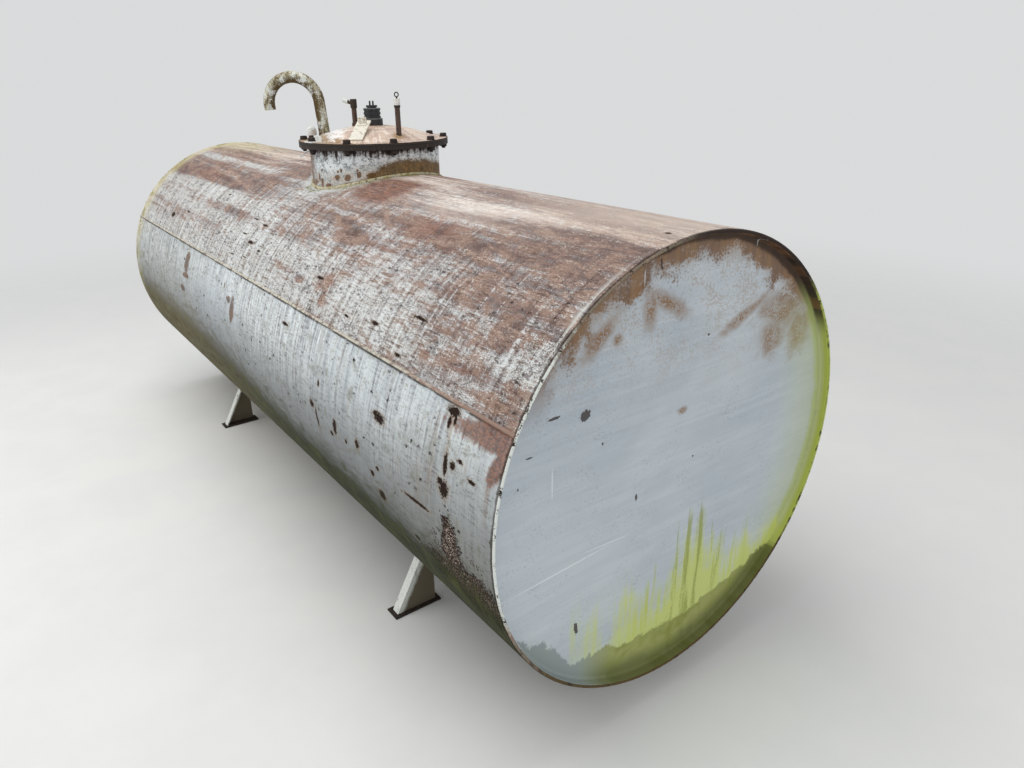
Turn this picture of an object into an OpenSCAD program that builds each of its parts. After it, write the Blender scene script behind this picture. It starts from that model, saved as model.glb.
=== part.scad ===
// Horizontal steel storage tank: rolled shell, inset flat ends, bolted manhole with its fittings, four legs
// Millimetres, Z up. The floor is z = 0 and the tank runs along X. Near is +X and front is -Y.

/* [Shell] */
// Outer diameter of the shell
shell_d = 1250; // [1000:10:1600]
// Length of the shell plates, rim to rim
shell_len = 3386; // [2600:2:4200]
// Thickness of the shell plates
shell_t = 5; // [4:0.5:8]
// Angle of the two upper plate seams below the crown of the shell
seam_angle = 63.5; // [50:0.5:80]
// Radius of the weld bead along a plate seam
seam_bead_r = 5; // [3:0.5:7]

/* [Ends] */
// Thickness of an end plate
head_t = 5; // [4:0.5:8]
// Depth of the flat end below the rim
head_inset = 28; // [18:1:60]
// Inside radius of the bend between the flat end and its flange
head_bend_r = 8; // [5:1:12]
// Radius of the weld bead that joins shell and end along the rim
rim_bead_r = 4; // [2.5:0.5:5]

/* [Manhole] */
// Distance of the manhole from mid-length, towards +X
neck_x = 56; // [-400:2:400]
// Outer diameter of the manhole neck
neck_d = 490; // [400:5:560]
// Wall of the manhole neck
neck_t = 6; // [4:0.5:10]
// Height of the neck's top above the crown of the shell
neck_rise = 104; // [80:1:200]
// How far the neck reaches down inside the shell at the crown
neck_drop = 60; // [52:1:90]
// Leg of the weld bead round the foot of the neck
neck_bead = 8; // [5:0.5:10]
// How far the neck flange, the gasket and the cover stand out past the neck
flange_out = 37; // [30:1:60]
// Thickness of the neck flange
flange_t = 12; // [8:1:16]
// Thickness of the gasket
gasket_t = 5; // [3:0.5:8]
// Distance of the gasket's inner edge inside the neck's outer face
gasket_in = 3; // [0:0.5:6]
// Distance of the cover bolts outside the neck's outer face
bolt_out = 20; // [16:0.5:21]
// Number of cover bolts
bolt_count = 10; // [8:1:12]
// Diameter of a bolt hole
bolt_hole_d = 18; // [14:0.5:20]
// Angle of the first bolt hole, from +X
bolt_start = -84; // [-96:1:-76]

/* [Cover] */
// Thickness of the cover plate
cover_t = 6; // [4:0.5:8]
// Distance of the dished middle's edge inside the neck's outer face
dish_in = 7; // [4:0.5:20]
// Height of the dished middle above the flat rim of the cover
dish_rise = 48; // [30:1:70]

/* [Vent pipe] */
// Outer diameter of the vent pipe
vent_d = 42; // [33:0.5:48]
// Wall of the vent pipe
vent_t = 3.2; // [2.5:0.1:4]
// Distance of the vent pipe from the edge of the dish
vent_edge = 48; // [42:1:80]
// Angle of the vent pipe on the cover, from +X
vent_place_angle = -130; // [-136:1:-116]
// Radius of the bend, at the pipe's centre line
vent_bend_r = 95; // [70:1:130]
// Length of the leaning leg above the underside of the cover's rim
vent_leg = 139; // [100:1:200]
// Length of the straight end that points down
vent_tail = 14; // [8:1:40]
// Direction in which the vent pipe bends over, from +X
vent_turn = -126; // [-180:1:-90]
// Lean of the vent pipe towards its mouth
vent_lean = 4; // [0:1:8]

/* [Filler] */
// Diameter of the filler socket, in the middle of the cover
filler_d = 76; // [70:1:84]
// Wall of the filler socket
filler_t = 5; // [3:0.5:8]
// Height of the filler socket above the dish
filler_h = 23; // [18:1:50]
// Diameter of the filler cap between its rings
filler_cap_d = 59; // [52:1:66]
// Height of the filler cap
filler_cap_h = 37; // [30:1:50]
// Number of raised rings round the filler cap
filler_rings = 3; // [2:1:4]
// Height of a raised ring
filler_ring_h = 8; // [4:0.5:9]
// How far a ring stands out from the filler cap
filler_ring_out = 2.5; // [1.5:0.5:4]
// Diameter of the raised disc on the filler cap
filler_disc_d = 42; // [36:1:56]
// Height of the raised disc
filler_disc_h = 7; // [5:1:14]
// Diameter of the short neck under the disc
filler_neck_d = 34; // [24:1:35]
// Height of that neck
filler_neck_h = 3; // [2:0.5:6]
// Height of the two lugs on the raised disc
filler_lug_h = 16; // [8:1:20]
// Thickness of a lug
filler_lug_t = 5; // [4:0.5:8]
// Width of a lug
filler_lug_w = 10; // [8:1:22]
// Distance between the middles of the two lugs
filler_lug_space = 12; // [11:1:24]
// Direction of the line through the two lugs, from +X
filler_lug_turn = 54; // [0:1:90]

/* [Dip pipe] */
// Outer diameter of the dip pipe
dip_d = 19; // [17:0.5:27]
// Wall of the dip pipe
dip_t = 2.8; // [2:0.1:3.5]
// Distance of the dip pipe from the edge of the dish
dip_edge = 54; // [42:1:80]
// Angle of the dip pipe on the cover, from +X
dip_place_angle = 3; // [-8:1:16]
// Height of the dip pipe above the rim of the cover
dip_h = 141; // [80:1:180]
// Outer diameter of the dip pipe's cap
dip_cap_d = 23; // [22.5:0.5:44]
// Height of the dip pipe's cap
dip_cap_h = 30; // [24:1:50]
// Outer diameter of the ring on the dip pipe's cap
dip_ring_d = 19; // [16:1:30]
// Thickness of that ring
dip_ring_t = 4; // [3:0.5:6]
// Direction in which the ring faces, from +X
dip_ring_turn = 36; // [-90:1:90]
// Diameter of the stalk under the ring
dip_stalk_d = 6; // [4.5:0.5:8]
// Height of that stalk
dip_stalk_h = 4; // [2:0.5:8]

/* [Gauge pipe] */
// Outer diameter of the gauge pipe
gauge_d = 19; // [17:0.5:25]
// Wall of the gauge pipe
gauge_t = 2.6; // [2:0.1:3.2]
// Distance of the gauge pipe from the middle of the cover
gauge_place_r = 78; // [66:1:90]
// Angle of the gauge pipe on the cover, from +X
gauge_place_angle = -147; // [-160:1:-120]
// Height of the gauge pipe above the rim of the cover
gauge_h = 122; // [90:1:160]
// Diameter of the collar at the gauge pipe's foot
gauge_collar_d = 25; // [24:1:36]
// Height of that collar above the dish
gauge_collar_h = 11; // [8:1:20]
// Direction of the side outlet of the head on the gauge pipe, from +X
elbow_turn = -135; // [-180:1:-90]
// Outer diameter of that head
elbow_d = 25; // [24:0.5:36]
// Height of the head above the top of the gauge pipe
elbow_top = 18; // [14:1:24]
// Depth of the head below the top of the gauge pipe
elbow_socket = 14; // [10:0.5:26]
// Rise of the side outlet, from the level
elbow_rise = 20; // [0:1:30]
// Length of the side outlet from the middle of the head
elbow_reach = 42; // [30:1:50]
// Outer diameter of the side outlet
outlet_d = 12; // [10:0.5:16]
// Bore of the side outlet
outlet_bore = 6; // [4:0.5:8]
// Diameter of the sleeve on the side outlet's end
outlet_sleeve_d = 15; // [13:0.5:20]
// Length of that sleeve
outlet_sleeve_len = 19; // [12:1:22]

/* [Small fittings] */
// Diameter of the small sensor socket
sensor_d = 27; // [22:1:32]
// Height of the sensor socket above the rim of the cover
sensor_h = 9; // [7:1:30]
// Diameter of the domed cap on the sensor socket
sensor_cap_d = 38; // [30:1:40]
// Height of the straight skirt under that cap's dome
sensor_skirt = 14; // [4:1:20]
// Angle of the sensor socket on the cover, from +X
sensor_place_angle = -142; // [-148:1:-140]
// Width of the lock strap
strap_w = 50; // [30:1:60]
// Thickness of the lock strap
strap_t = 5; // [3:0.5:8]
// Angle of the lock strap on the cover, from +X
strap_angle = -44; // [-60:1:-36]
// Inner end of the lock strap, from the middle of the cover
strap_in = 100; // [80:1:120]
// Distance of the lock strap's outer end from the edge of the dish
strap_edge = 16; // [6:1:40]
// Height of the strap's inner end above the dish
strap_lift = 25; // [16:1:32]
// Height of the strap's outer end above the dish
strap_lift_out = 0.5; // [0.4:0.1:4]
// Width of the hasp on the strap's inner end
hasp_w = 32; // [24:1:44]
// Height of the hasp
hasp_h = 24; // [16:1:40]
// Length of the hasp's flat tab
hasp_tab = 20; // [14:1:30]
// Distance of the hasp's upright from the strap's inner end
hasp_back = 20; // [0:1:30]
// Thickness of the hasp's sheet
hasp_t = 3; // [2:0.5:4]
// Diameter of the padlock hole in the hasp
hasp_hole_d = 9; // [6:0.5:12]
// Width of the bracket under the first cover bolt
bracket_w = 50; // [36:1:60]
// Height of that bracket's upright
bracket_h = 22; // [16:1:40]
// Thickness of that bracket
bracket_t = 4; // [3:0.5:6]
// Length of the earth lug on the neck
lug_len = 48; // [30:1:70]
// Width of the earth lug
lug_w = 14; // [8:1:24]
// Thickness of the earth lug
lug_t = 5; // [3:0.5:8]
// Distance of the earth lug below the flange
lug_below = 12; // [8:1:40]
// Slope of the earth lug, down from the level
lug_slope = 32; // [0:1:40]
// Angle of the earth lug round the neck, from +X
lug_angle = -116; // [-130:1:-104]

/* [Legs] */
// Clearance between the floor and the lowest point of the shell
ground_gap = 90; // [60:1:240]
// Distance of the legs from mid-length
leg_x = 920; // [600:5:1200]
// Distance of a leg's inner edge from the tank's middle plane
leg_inner_y = 350; // [260:5:380]
// Width across the foot of a leg's web
leg_foot_w = 146; // [120:1:200]
// Angle of a leg's outer edge from the vertical
leg_splay = 28.7; // [18:0.1:34]
// Thickness of a leg's plate
leg_t = 5; // [4:0.5:8]
// Width of the folded outer flange of a leg
leg_flange_w = 34; // [24:1:60]
// Thickness of a foot plate
foot_t = 6; // [5:0.5:12]
// Margin of a foot plate round the leg
foot_margin = 14; // [8:1:30]

/* [Hidden] */
$fn = 96;
// Facets used for the preview of the large round faces, of pipes, of holes and of thin rods
large_fn = 360;
pipe_fn = 48;
hole_fn = 32;
rod_fn = 24;
// Clearance between curved faces that seat on each other
seat = 0.2;
// Clearance of a pipe in the hole that it passes through
pipe_fit = 0.3;
// How far a cut runs past the face that it opens
cut = 2;
shell_r = shell_d / 2;
axis_z = shell_r + ground_gap;
crown_z = axis_z + shell_r;
neck_r = neck_d / 2;
neck_top_z = crown_z + neck_rise;
bolt_circle_r = neck_r + bolt_out;
gasket_z = neck_top_z;
rim_z = gasket_z + gasket_t;
rim_top_z = rim_z + cover_t;
flange_r = neck_r + flange_out;
dish_r = neck_r - dish_in;
// Sphere of the dish's outer face, and the height of its centre
dish_sphere_r = (dish_r * dish_r + dish_rise * dish_rise) / (2 * dish_rise);
dish_centre_z = rim_top_z + dish_rise - dish_sphere_r;
vent_place_r = dish_r - vent_edge;
dip_place_r = dish_r - dip_edge;
strap_out = dish_r - strap_edge;
// How far a pipe reaches below the underside of the rim of the cover
pipe_drop = 18;
// Height of the lower edge of the dip pipe's cap
dip_cap_z = rim_top_z + dip_h - (dip_cap_h - dip_t);
// Slope of the lock strap: it rests on the dish near its outer end
strap_out_z = dish_z(strap_out) + strap_lift_out;
strap_rise = dish_z(strap_in) + strap_lift - strap_out_z;
strap_slope = atan2(strap_rise, strap_out - strap_in);
strap_run = norm([strap_out - strap_in, strap_rise]);
// Grey of the paint, brown of the rusted top, and the other finishes
paint = [0.66, 0.69, 0.70];
rust = [0.45, 0.35, 0.31];
dark_rust = [0.20, 0.15, 0.13];
cover_paint = [0.72, 0.65, 0.60];
black_cap = [0.12, 0.13, 0.14];
rubber = [0.08, 0.08, 0.08];
white_paint = [0.86, 0.88, 0.84];
moss_white = [0.72, 0.72, 0.60];

// Height of the dish's outer face at distance r from the middle of the cover
function dish_z(r) = dish_centre_z + sqrt(dish_sphere_r * dish_sphere_r - r * r);

// A point on the cover, at distance r and angle a
module on_cover(r, a) {
  translate([neck_x + r * cos(a), r * sin(a), 0]) children();
}

// Solid cylinder along X, centred on the tank's axis
module along_axis(r, len) {
  translate([0, 0, axis_z]) rotate([0, 90, 0]) cylinder(r = r, h = len, center = true, $fn = large_fn);
}

// Stretch of pipe wall between two angles from the crown, seen along X
module arc_wall(r_out, r_in, a0, a1) {
  steps = 4;
  reach = r_out * 2;
  intersection() {
    difference() {
      circle(r = r_out, $fn = large_fn);
      circle(r = r_in, $fn = large_fn);
    }
    polygon(concat([[0, 0]], [for (i = [0:steps]) let (a = a0 + (a1 - a0) * i / steps)
      [reach * sin(a), reach * cos(a)]]));
  }
}

// One rolled plate of the shell, from angle a0 to a1 round from the crown towards +Y
module rolled_plate(a0, a1) {
  translate([-shell_len / 2, 0, axis_z]) rotate([90, 0, 90]) linear_extrude(shell_len)
    arc_wall(shell_r, shell_r - shell_t, a0, a1);
}

module upper_plate() {
  color(rust) difference() {
    rolled_plate(-seam_angle, seam_angle);
    translate([neck_x, 0, axis_z]) cylinder(r = neck_r + pipe_fit, h = shell_d);
  }
}

module front_plate() {
  color(paint) rolled_plate(-180, -seam_angle);
}

module rear_plate() {
  color(paint) rolled_plate(seam_angle, 180);
}

// Raised weld bead along the shell, at an angle from the crown
module seam_bead(a) {
  color(rust) difference() {
    translate([0, shell_r * sin(a), axis_z + shell_r * cos(a)]) rotate([0, 90, 0])
      cylinder(r = seam_bead_r, h = shell_len, center = true, $fn = 64);
    along_axis(shell_r + seat, shell_len + 2 * cut);
  }
}

// Inset end: flat disc, bend and outward flange, in one pressing, with its rim at z = 0
module head_pressing() {
  r_out = shell_r - shell_t - seat;
  bend_out = head_bend_r + head_t;
  rotate_extrude() {
    translate([0, -head_inset - head_t]) square([r_out - bend_out, head_t]);
    translate([r_out - head_t, -head_inset - head_t + bend_out])
      square([head_t, head_inset + head_t - bend_out]);
    translate([r_out - bend_out, -head_inset - head_t + bend_out]) intersection() {
      difference() {
        circle(r = bend_out);
        circle(r = head_bend_r);
      }
      translate([0, -bend_out]) square([bend_out, bend_out]);
    }
  }
}

// Turns what is drawn with its rim at z = 0 to the +X end (1) or to the -X end (-1)
module at_end(side) {
  translate([side * shell_len / 2, 0, axis_z]) rotate([0, side * 90, 0]) children();
}

module head(side) {
  color(paint) at_end(side) head_pressing();
}

// Half-round bead over the joint of shell and flange
module rim_weld(side) {
  steps = 6;
  color(dark_rust) at_end(side) rotate_extrude($fn = large_fn) translate([shell_r - shell_t, 0])
    polygon([for (i = [0:steps]) rim_bead_r * [cos(i * 180 / steps), sin(i * 180 / steps)]]);
}

module manhole_neck() {
  bottom_z = crown_z - neck_drop;
  color(paint) translate([neck_x, 0, bottom_z]) difference() {
    cylinder(r = neck_r, h = neck_top_z - bottom_z);
    translate([0, 0, -cut]) cylinder(r = neck_r - neck_t, h = neck_top_z - bottom_z + 2 * cut);
  }
}

// Saddle-shaped bead where the neck leaves the shell
module neck_weld() {
  color(moss_white) intersection() {
    difference() {
      translate([neck_x, 0, axis_z]) cylinder(r = neck_r + neck_bead, h = shell_d);
      translate([neck_x, 0, axis_z]) cylinder(r = neck_r + seat, h = shell_d);
      along_axis(shell_r + seat, shell_len);
    }
    along_axis(shell_r + neck_bead, shell_len);
  }
}

// The holes of the cover bolts, through a height from z0 to z1
module bolt_holes(z0, z1) {
  for (i = [0:bolt_count - 1]) on_cover(bolt_circle_r, bolt_start + i * 360 / bolt_count)
    translate([0, 0, z0 - cut]) cylinder(d = bolt_hole_d, h = z1 - z0 + 2 * cut, $fn = hole_fn);
}

module neck_flange() {
  z0 = neck_top_z - flange_t;
  color(dark_rust) difference() {
    translate([neck_x, 0, z0]) cylinder(r = flange_r, h = flange_t);
    translate([neck_x, 0, z0 - cut]) cylinder(r = neck_r + seat, h = flange_t + 2 * cut);
    bolt_holes(z0, neck_top_z);
  }
}

module gasket() {
  color(rubber) difference() {
    translate([neck_x, 0, gasket_z]) cylinder(r = flange_r, h = gasket_t);
    translate([neck_x, 0, gasket_z - cut]) cylinder(r = neck_r - gasket_in, h = gasket_t + 2 * cut);
    bolt_holes(gasket_z, rim_z);
  }
}

// Hole for a pipe through the dish
module pipe_hole(r, a, d) {
  on_cover(r, a) translate([0, 0, rim_z - pipe_drop])
    cylinder(d = d + 2 * pipe_fit, h = pipe_drop + 2 * dish_rise, $fn = pipe_fn);
}

// Half section of the cover: flat rim and dished middle of one thickness
module cover_section() {
  translate([dish_r - cover_t, 0]) square([flange_r - dish_r + cover_t, cover_t]);
  intersection() {
    translate([0, dish_centre_z - rim_z]) difference() {
      circle(r = dish_sphere_r, $fn = 4 * large_fn);
      circle(r = dish_sphere_r - cover_t, $fn = 4 * large_fn);
    }
    square([dish_r, dish_rise + 2 * cover_t]);
  }
}

module cover() {
  color(cover_paint) difference() {
    translate([neck_x, 0, rim_z]) rotate_extrude($fn = large_fn) cover_section();
    bolt_holes(rim_z, rim_top_z);
    pipe_hole(0, 0, filler_d);
    pipe_hole(dip_place_r, dip_place_angle, dip_d);
    pipe_hole(gauge_place_r, gauge_place_angle, gauge_d);
    vent_axis() translate([0, 0, -pipe_drop]) cylinder(d = vent_d + 2 * pipe_fit, h = vent_leg, $fn = pipe_fn);
  }
}

// Round pipe standing from z0 to z1
module pipe(d, t, z0, z1) {
  translate([0, 0, z0]) difference() {
    cylinder(d = d, h = z1 - z0, $fn = pipe_fn);
    translate([0, 0, -cut]) cylinder(d = d - 2 * t, h = z1 - z0 + 2 * cut, $fn = pipe_fn);
  }
}

// Frame of the vent pipe: origin at the rim's underside, Z up its leaning leg, X towards its mouth
module vent_axis() {
  on_cover(vent_place_r, vent_place_angle) translate([0, 0, rim_z])
    rotate([0, 0, vent_turn]) rotate([0, vent_lean, 0]) children();
}

// Round bar of diameter d along the vent pipe's run, longer by extra at both ends
module vent_run(d, extra) {
  translate([0, 0, -pipe_drop - extra]) cylinder(d = d, h = vent_leg + pipe_drop + extra, $fn = pipe_fn);
  translate([vent_bend_r, 0, vent_leg]) rotate([90, 0, 0])
    rotate_extrude(angle = 180) translate([vent_bend_r, 0]) circle(d = d, $fn = pipe_fn);
  translate([2 * vent_bend_r, 0, vent_leg - vent_tail - extra])
    cylinder(d = d, h = vent_tail + extra, $fn = pipe_fn);
}

// Gooseneck: a leaning leg, a bend of half a turn and a short tail
module vent_pipe() {
  color(moss_white) vent_axis() difference() {
    union() vent_run(vent_d, 0);
    union() vent_run(vent_d - 2 * vent_t, cut);
  }
}

// Folded bracket held by the first cover bolt, with its upright towards the dish
module rim_bracket() {
  inner = dish_r - bolt_circle_r + pipe_fit;
  outer = flange_r - bolt_circle_r - pipe_fit;
  color(white_paint) difference() {
    on_cover(bolt_circle_r, bolt_start) rotate([0, 0, bolt_start])
      translate([0, bracket_w / 2, rim_top_z]) rotate([90, 0, 0]) linear_extrude(bracket_w)
        polygon([[inner, 0], [outer, 0], [outer, bracket_t], [inner + bracket_t, bracket_t],
          [inner + bracket_t, bracket_h], [inner, bracket_h]]);
    translate([neck_x, 0, dish_centre_z]) sphere(r = dish_sphere_r + seat, $fn = large_fn);
    bolt_holes(rim_top_z, rim_top_z + bracket_h);
  }
}

module filler_socket() {
  color(black_cap) on_cover(0, 0) pipe(filler_d, filler_t, rim_z - pipe_drop, dish_z(0) + filler_h);
}

// Cap with raised rings round its skirt
module filler_cap() {
  ring_step = (filler_cap_h - filler_ring_h) / (filler_rings - 1);
  color(black_cap) on_cover(0, 0) translate([0, 0, dish_z(0) + filler_h]) {
    cylinder(d = filler_cap_d, h = filler_cap_h);
    for (i = [0:filler_rings - 1]) translate([0, 0, i * ring_step])
      cylinder(d = filler_cap_d + 2 * filler_ring_out, h = filler_ring_h);
  }
}

// Raised disc on a short neck, with two upright lugs
module filler_disc() {
  top = filler_neck_h + filler_disc_h;
  color(black_cap) on_cover(0, 0) translate([0, 0, dish_z(0) + filler_h + filler_cap_h]) {
    cylinder(d = filler_neck_d, h = top);
    translate([0, 0, filler_neck_h]) cylinder(d = filler_disc_d, h = filler_disc_h);
    rotate([0, 0, filler_lug_turn]) for (side = [-1, 1])
      translate([(side * filler_lug_space - filler_lug_t) / 2, -filler_lug_w / 2, top - cut])
        cube([filler_lug_t, filler_lug_w, filler_lug_h + cut]);
  }
}

module dip_pipe() {
  color(rust) on_cover(dip_place_r, dip_place_angle)
    pipe(dip_d, dip_t, rim_z - pipe_drop, rim_top_z + dip_h);
}

// Cap that slips over the top of the dip pipe
module dip_cap() {
  color(white_paint) on_cover(dip_place_r, dip_place_angle) translate([0, 0, dip_cap_z])
    difference() {
      cylinder(d = dip_cap_d, h = dip_cap_h, $fn = pipe_fn);
      translate([0, 0, -cut]) cylinder(d = dip_d + 2 * pipe_fit, h = dip_cap_h - dip_t + cut, $fn = pipe_fn);
    }
}

// Ring on a stalk that stands on the cap
module dip_ring() {
  color(dark_rust) on_cover(dip_place_r, dip_place_angle) translate([0, 0, dip_cap_z + dip_cap_h]) {
    cylinder(d = dip_stalk_d, h = dip_stalk_h + dip_ring_t / 2, $fn = rod_fn);
    translate([0, 0, dip_stalk_h + dip_ring_d / 2]) rotate([90, 0, dip_ring_turn])
      rotate_extrude() translate([(dip_ring_d - dip_ring_t) / 2, 0]) circle(d = dip_ring_t, $fn = rod_fn);
  }
}

// Pipe with a collar that rests on the dish
module gauge_pipe() {
  pipe_z = rim_z - pipe_drop;
  collar_top = dish_z(gauge_place_r) + gauge_collar_h;
  color(dark_rust) difference() {
    union() {
      on_cover(gauge_place_r, gauge_place_angle) translate([0, 0, pipe_z])
        cylinder(d = gauge_d, h = rim_top_z + gauge_h - pipe_z, $fn = pipe_fn);
      difference() {
        on_cover(gauge_place_r, gauge_place_angle) translate([0, 0, rim_top_z])
          cylinder(d = gauge_collar_d, h = collar_top - rim_top_z, $fn = pipe_fn);
        translate([neck_x, 0, dish_centre_z]) sphere(r = dish_sphere_r + seat, $fn = large_fn);
      }
    }
    on_cover(gauge_place_r, gauge_place_angle) translate([0, 0, pipe_z - cut])
      cylinder(d = gauge_d - 2 * gauge_t, h = rim_top_z + gauge_h - pipe_z + 2 * cut, $fn = pipe_fn);
  }
}

// Head screwed over the gauge pipe, with a rising side outlet and a sleeve on its end
module gauge_elbow() {
  color(dark_rust) on_cover(gauge_place_r, gauge_place_angle) translate([0, 0, rim_top_z + gauge_h])
    difference() {
      union() {
        translate([0, 0, -elbow_socket]) cylinder(d = elbow_d, h = elbow_socket + elbow_top, $fn = pipe_fn);
        rotate([0, 90 - elbow_rise, elbow_turn]) {
          cylinder(d = outlet_d, h = elbow_reach, $fn = pipe_fn);
          translate([0, 0, elbow_reach - outlet_sleeve_len])
            cylinder(d = outlet_sleeve_d, h = outlet_sleeve_len, $fn = pipe_fn);
        }
      }
      translate([0, 0, -elbow_socket - cut])
        cylinder(d = gauge_d + 2 * pipe_fit, h = elbow_socket + cut, $fn = pipe_fn);
      rotate([0, 90 - elbow_rise, elbow_turn]) cylinder(d = outlet_bore, h = elbow_reach + cut, $fn = pipe_fn);
    }
}

module sensor_socket() {
  color(dark_rust) on_cover(bolt_circle_r, sensor_place_angle) translate([0, 0, rim_top_z])
    cylinder(d = sensor_d, h = sensor_h, $fn = pipe_fn);
}

module sensor_cap() {
  color(white_paint) on_cover(bolt_circle_r, sensor_place_angle)
    translate([0, 0, rim_top_z + sensor_h]) {
      cylinder(d = sensor_cap_d, h = sensor_skirt, $fn = pipe_fn);
      translate([0, 0, sensor_skirt]) intersection() {
        sphere(d = sensor_cap_d, $fn = pipe_fn);
        cylinder(d = sensor_cap_d, h = sensor_cap_d, $fn = pipe_fn);
      }
    }
}

// Frame of the lock strap: origin at its outer end, X up the slope towards the filler, Z off its face
module strap_frame() {
  on_cover(strap_out, strap_angle) translate([0, 0, strap_out_z]) rotate([0, 0, strap_angle + 180])
    rotate([0, -strap_slope, 0]) children();
}

// Flat bar from the rim up the slope of the dish, lifted at its inner end
module lock_strap() {
  color(white_paint) strap_frame() translate([0, -strap_w / 2, 0]) cube([strap_run, strap_w, strap_t]);
}

// Folded hasp that stands on the strap's inner end, with a hole for a padlock
module hasp() {
  color(white_paint) strap_frame() translate([strap_run - hasp_tab - hasp_back, 0, strap_t]) difference() {
    translate([0, hasp_w / 2, 0]) rotate([90, 0, 0]) linear_extrude(hasp_w)
      polygon([[0, 0], [hasp_tab, 0], [hasp_tab, hasp_h], [hasp_tab - hasp_t, hasp_h],
        [hasp_tab - hasp_t, hasp_t], [0, hasp_t]]);
    translate([0, 0, (hasp_h + hasp_t) / 2]) rotate([0, 90, 0])
      cylinder(d = hasp_hole_d, h = hasp_tab + cut, $fn = hole_fn);
  }
}

// Bar welded to the neck, pointing out and down
module earth_lug() {
  color(white_paint) difference() {
    on_cover(neck_r, lug_angle) translate([0, 0, neck_top_z - flange_t - lug_below])
      rotate([0, lug_slope, lug_angle]) translate([-lug_w / 2, -lug_w / 2, -lug_t])
        cube([lug_len + lug_w / 2, lug_w, lug_t]);
    translate([neck_x, 0, axis_z]) cylinder(r = neck_r + seat, h = shell_d);
  }
}

// Draws its children at the leg on one side of mid-length and one side of the tank
module at_leg(side_x, side_y) {
  mirror([side_x < 0 ? 1 : 0, 0, 0]) mirror([0, side_y < 0 ? 1 : 0, 0]) translate([leg_x, leg_inner_y, 0])
    children();
}

// Folded leg: transverse web and sloping outer flange, cut to the curve of the shell
module leg(side_x, side_y) {
  apex = leg_foot_w / tan(leg_splay);
  color(white_paint) difference() {
    at_leg(side_x, side_y) translate([0, 0, foot_t]) rotate([90, 0, 90]) union() {
      translate([0, 0, leg_flange_w / 2 - leg_t]) linear_extrude(leg_t)
        polygon([[0, 0], [leg_foot_w, 0], [0, apex]]);
      translate([0, 0, -leg_flange_w / 2]) linear_extrude(leg_flange_w)
        polygon([[leg_foot_w, 0], [0, apex], [0, apex - leg_t / sin(leg_splay)],
          [leg_foot_w - leg_t / cos(leg_splay), 0]]);
    }
    along_axis(shell_r + seat, shell_len);
  }
}

module foot(side_x, side_y) {
  color(dark_rust) at_leg(side_x, side_y) translate([-leg_flange_w / 2 - foot_margin, -foot_margin, 0])
    cube([leg_flange_w + 2 * foot_margin, leg_foot_w + 2 * foot_margin, foot_t]);
}

upper_plate();
front_plate();
rear_plate();
seam_bead(-seam_angle);  // front_seam
seam_bead(seam_angle);  // rear_seam
seam_bead(180);  // bottom_seam
head(1);  // near_head
head(-1);  // far_head
rim_weld(1);  // near_rim_weld
rim_weld(-1);  // far_rim_weld
manhole_neck();
neck_weld();
neck_flange();
gasket();
cover();
vent_pipe();
rim_bracket();
filler_socket();
filler_cap();
filler_disc();
dip_pipe();
dip_cap();
dip_ring();
gauge_pipe();
gauge_elbow();
sensor_socket();
sensor_cap();
lock_strap();
hasp();
earth_lug();
leg(1, -1);  // leg_front_near
leg(-1, -1);  // leg_front_far
leg(1, 1);  // leg_rear_near
leg(-1, 1);  // leg_rear_far
foot(1, -1);  // foot_front_near
foot(-1, -1);  // foot_front_far
foot(1, 1);  // foot_rear_near
foot(-1, 1);  // foot_rear_far
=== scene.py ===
"""Looks of an old horizontal steel storage tank: worn paint, rust, moss, dirt, some painted light and shade,
and its small fasteners.

Metres, Z up. The floor is z = 0 and the tank runs along X. Near is +X and front is -Y.
"""

from __future__ import annotations

import functools
import logging
import math
from dataclasses import dataclass, replace
from enum import Enum
from typing import Any, Callable, Iterable, Sequence, Union

import bpy
from mathutils import Matrix, Vector

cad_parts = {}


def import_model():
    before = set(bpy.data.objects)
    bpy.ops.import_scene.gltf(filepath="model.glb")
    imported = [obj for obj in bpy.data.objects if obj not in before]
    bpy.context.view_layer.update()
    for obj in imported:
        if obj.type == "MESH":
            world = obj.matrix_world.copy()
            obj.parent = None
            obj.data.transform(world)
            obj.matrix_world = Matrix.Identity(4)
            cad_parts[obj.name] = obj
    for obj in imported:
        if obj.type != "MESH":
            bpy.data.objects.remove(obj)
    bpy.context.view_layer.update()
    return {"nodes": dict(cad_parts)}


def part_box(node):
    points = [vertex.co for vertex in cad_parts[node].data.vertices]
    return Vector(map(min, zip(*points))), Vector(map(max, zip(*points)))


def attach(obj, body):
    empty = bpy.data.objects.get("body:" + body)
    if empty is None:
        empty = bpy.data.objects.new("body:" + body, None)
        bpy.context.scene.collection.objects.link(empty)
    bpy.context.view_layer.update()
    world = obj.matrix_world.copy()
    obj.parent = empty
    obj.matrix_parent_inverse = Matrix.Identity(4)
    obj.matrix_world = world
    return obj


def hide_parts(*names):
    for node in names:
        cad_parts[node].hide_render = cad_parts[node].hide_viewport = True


LOG = logging.getLogger("tank")
BODY = "root"
IMAGE_W = 1024.0
SENSOR_MM = 36.0

SEAM = 63.5
VENT_R = 0.021
VENT_BEND_R = 0.095
VENT_TURN = -126.0
OUTLET_TURN = -135.0
LEG_SPLAY = 28.7
RIM_WELD_IN = 0.005
DISH_IN = 0.007
MILLIMETRE = 0.001
NOISE_MIDDLE = 0.5
TO_DEGREES = 180.0 / math.pi

Mesh = bpy.types.Mesh
Material = bpy.types.Material
Piece = bpy.types.Object
Socket = bpy.types.NodeSocket
Number = Union["Value", float]
Colour = tuple[float, float, float]
Place = tuple[float, float, float]


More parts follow.
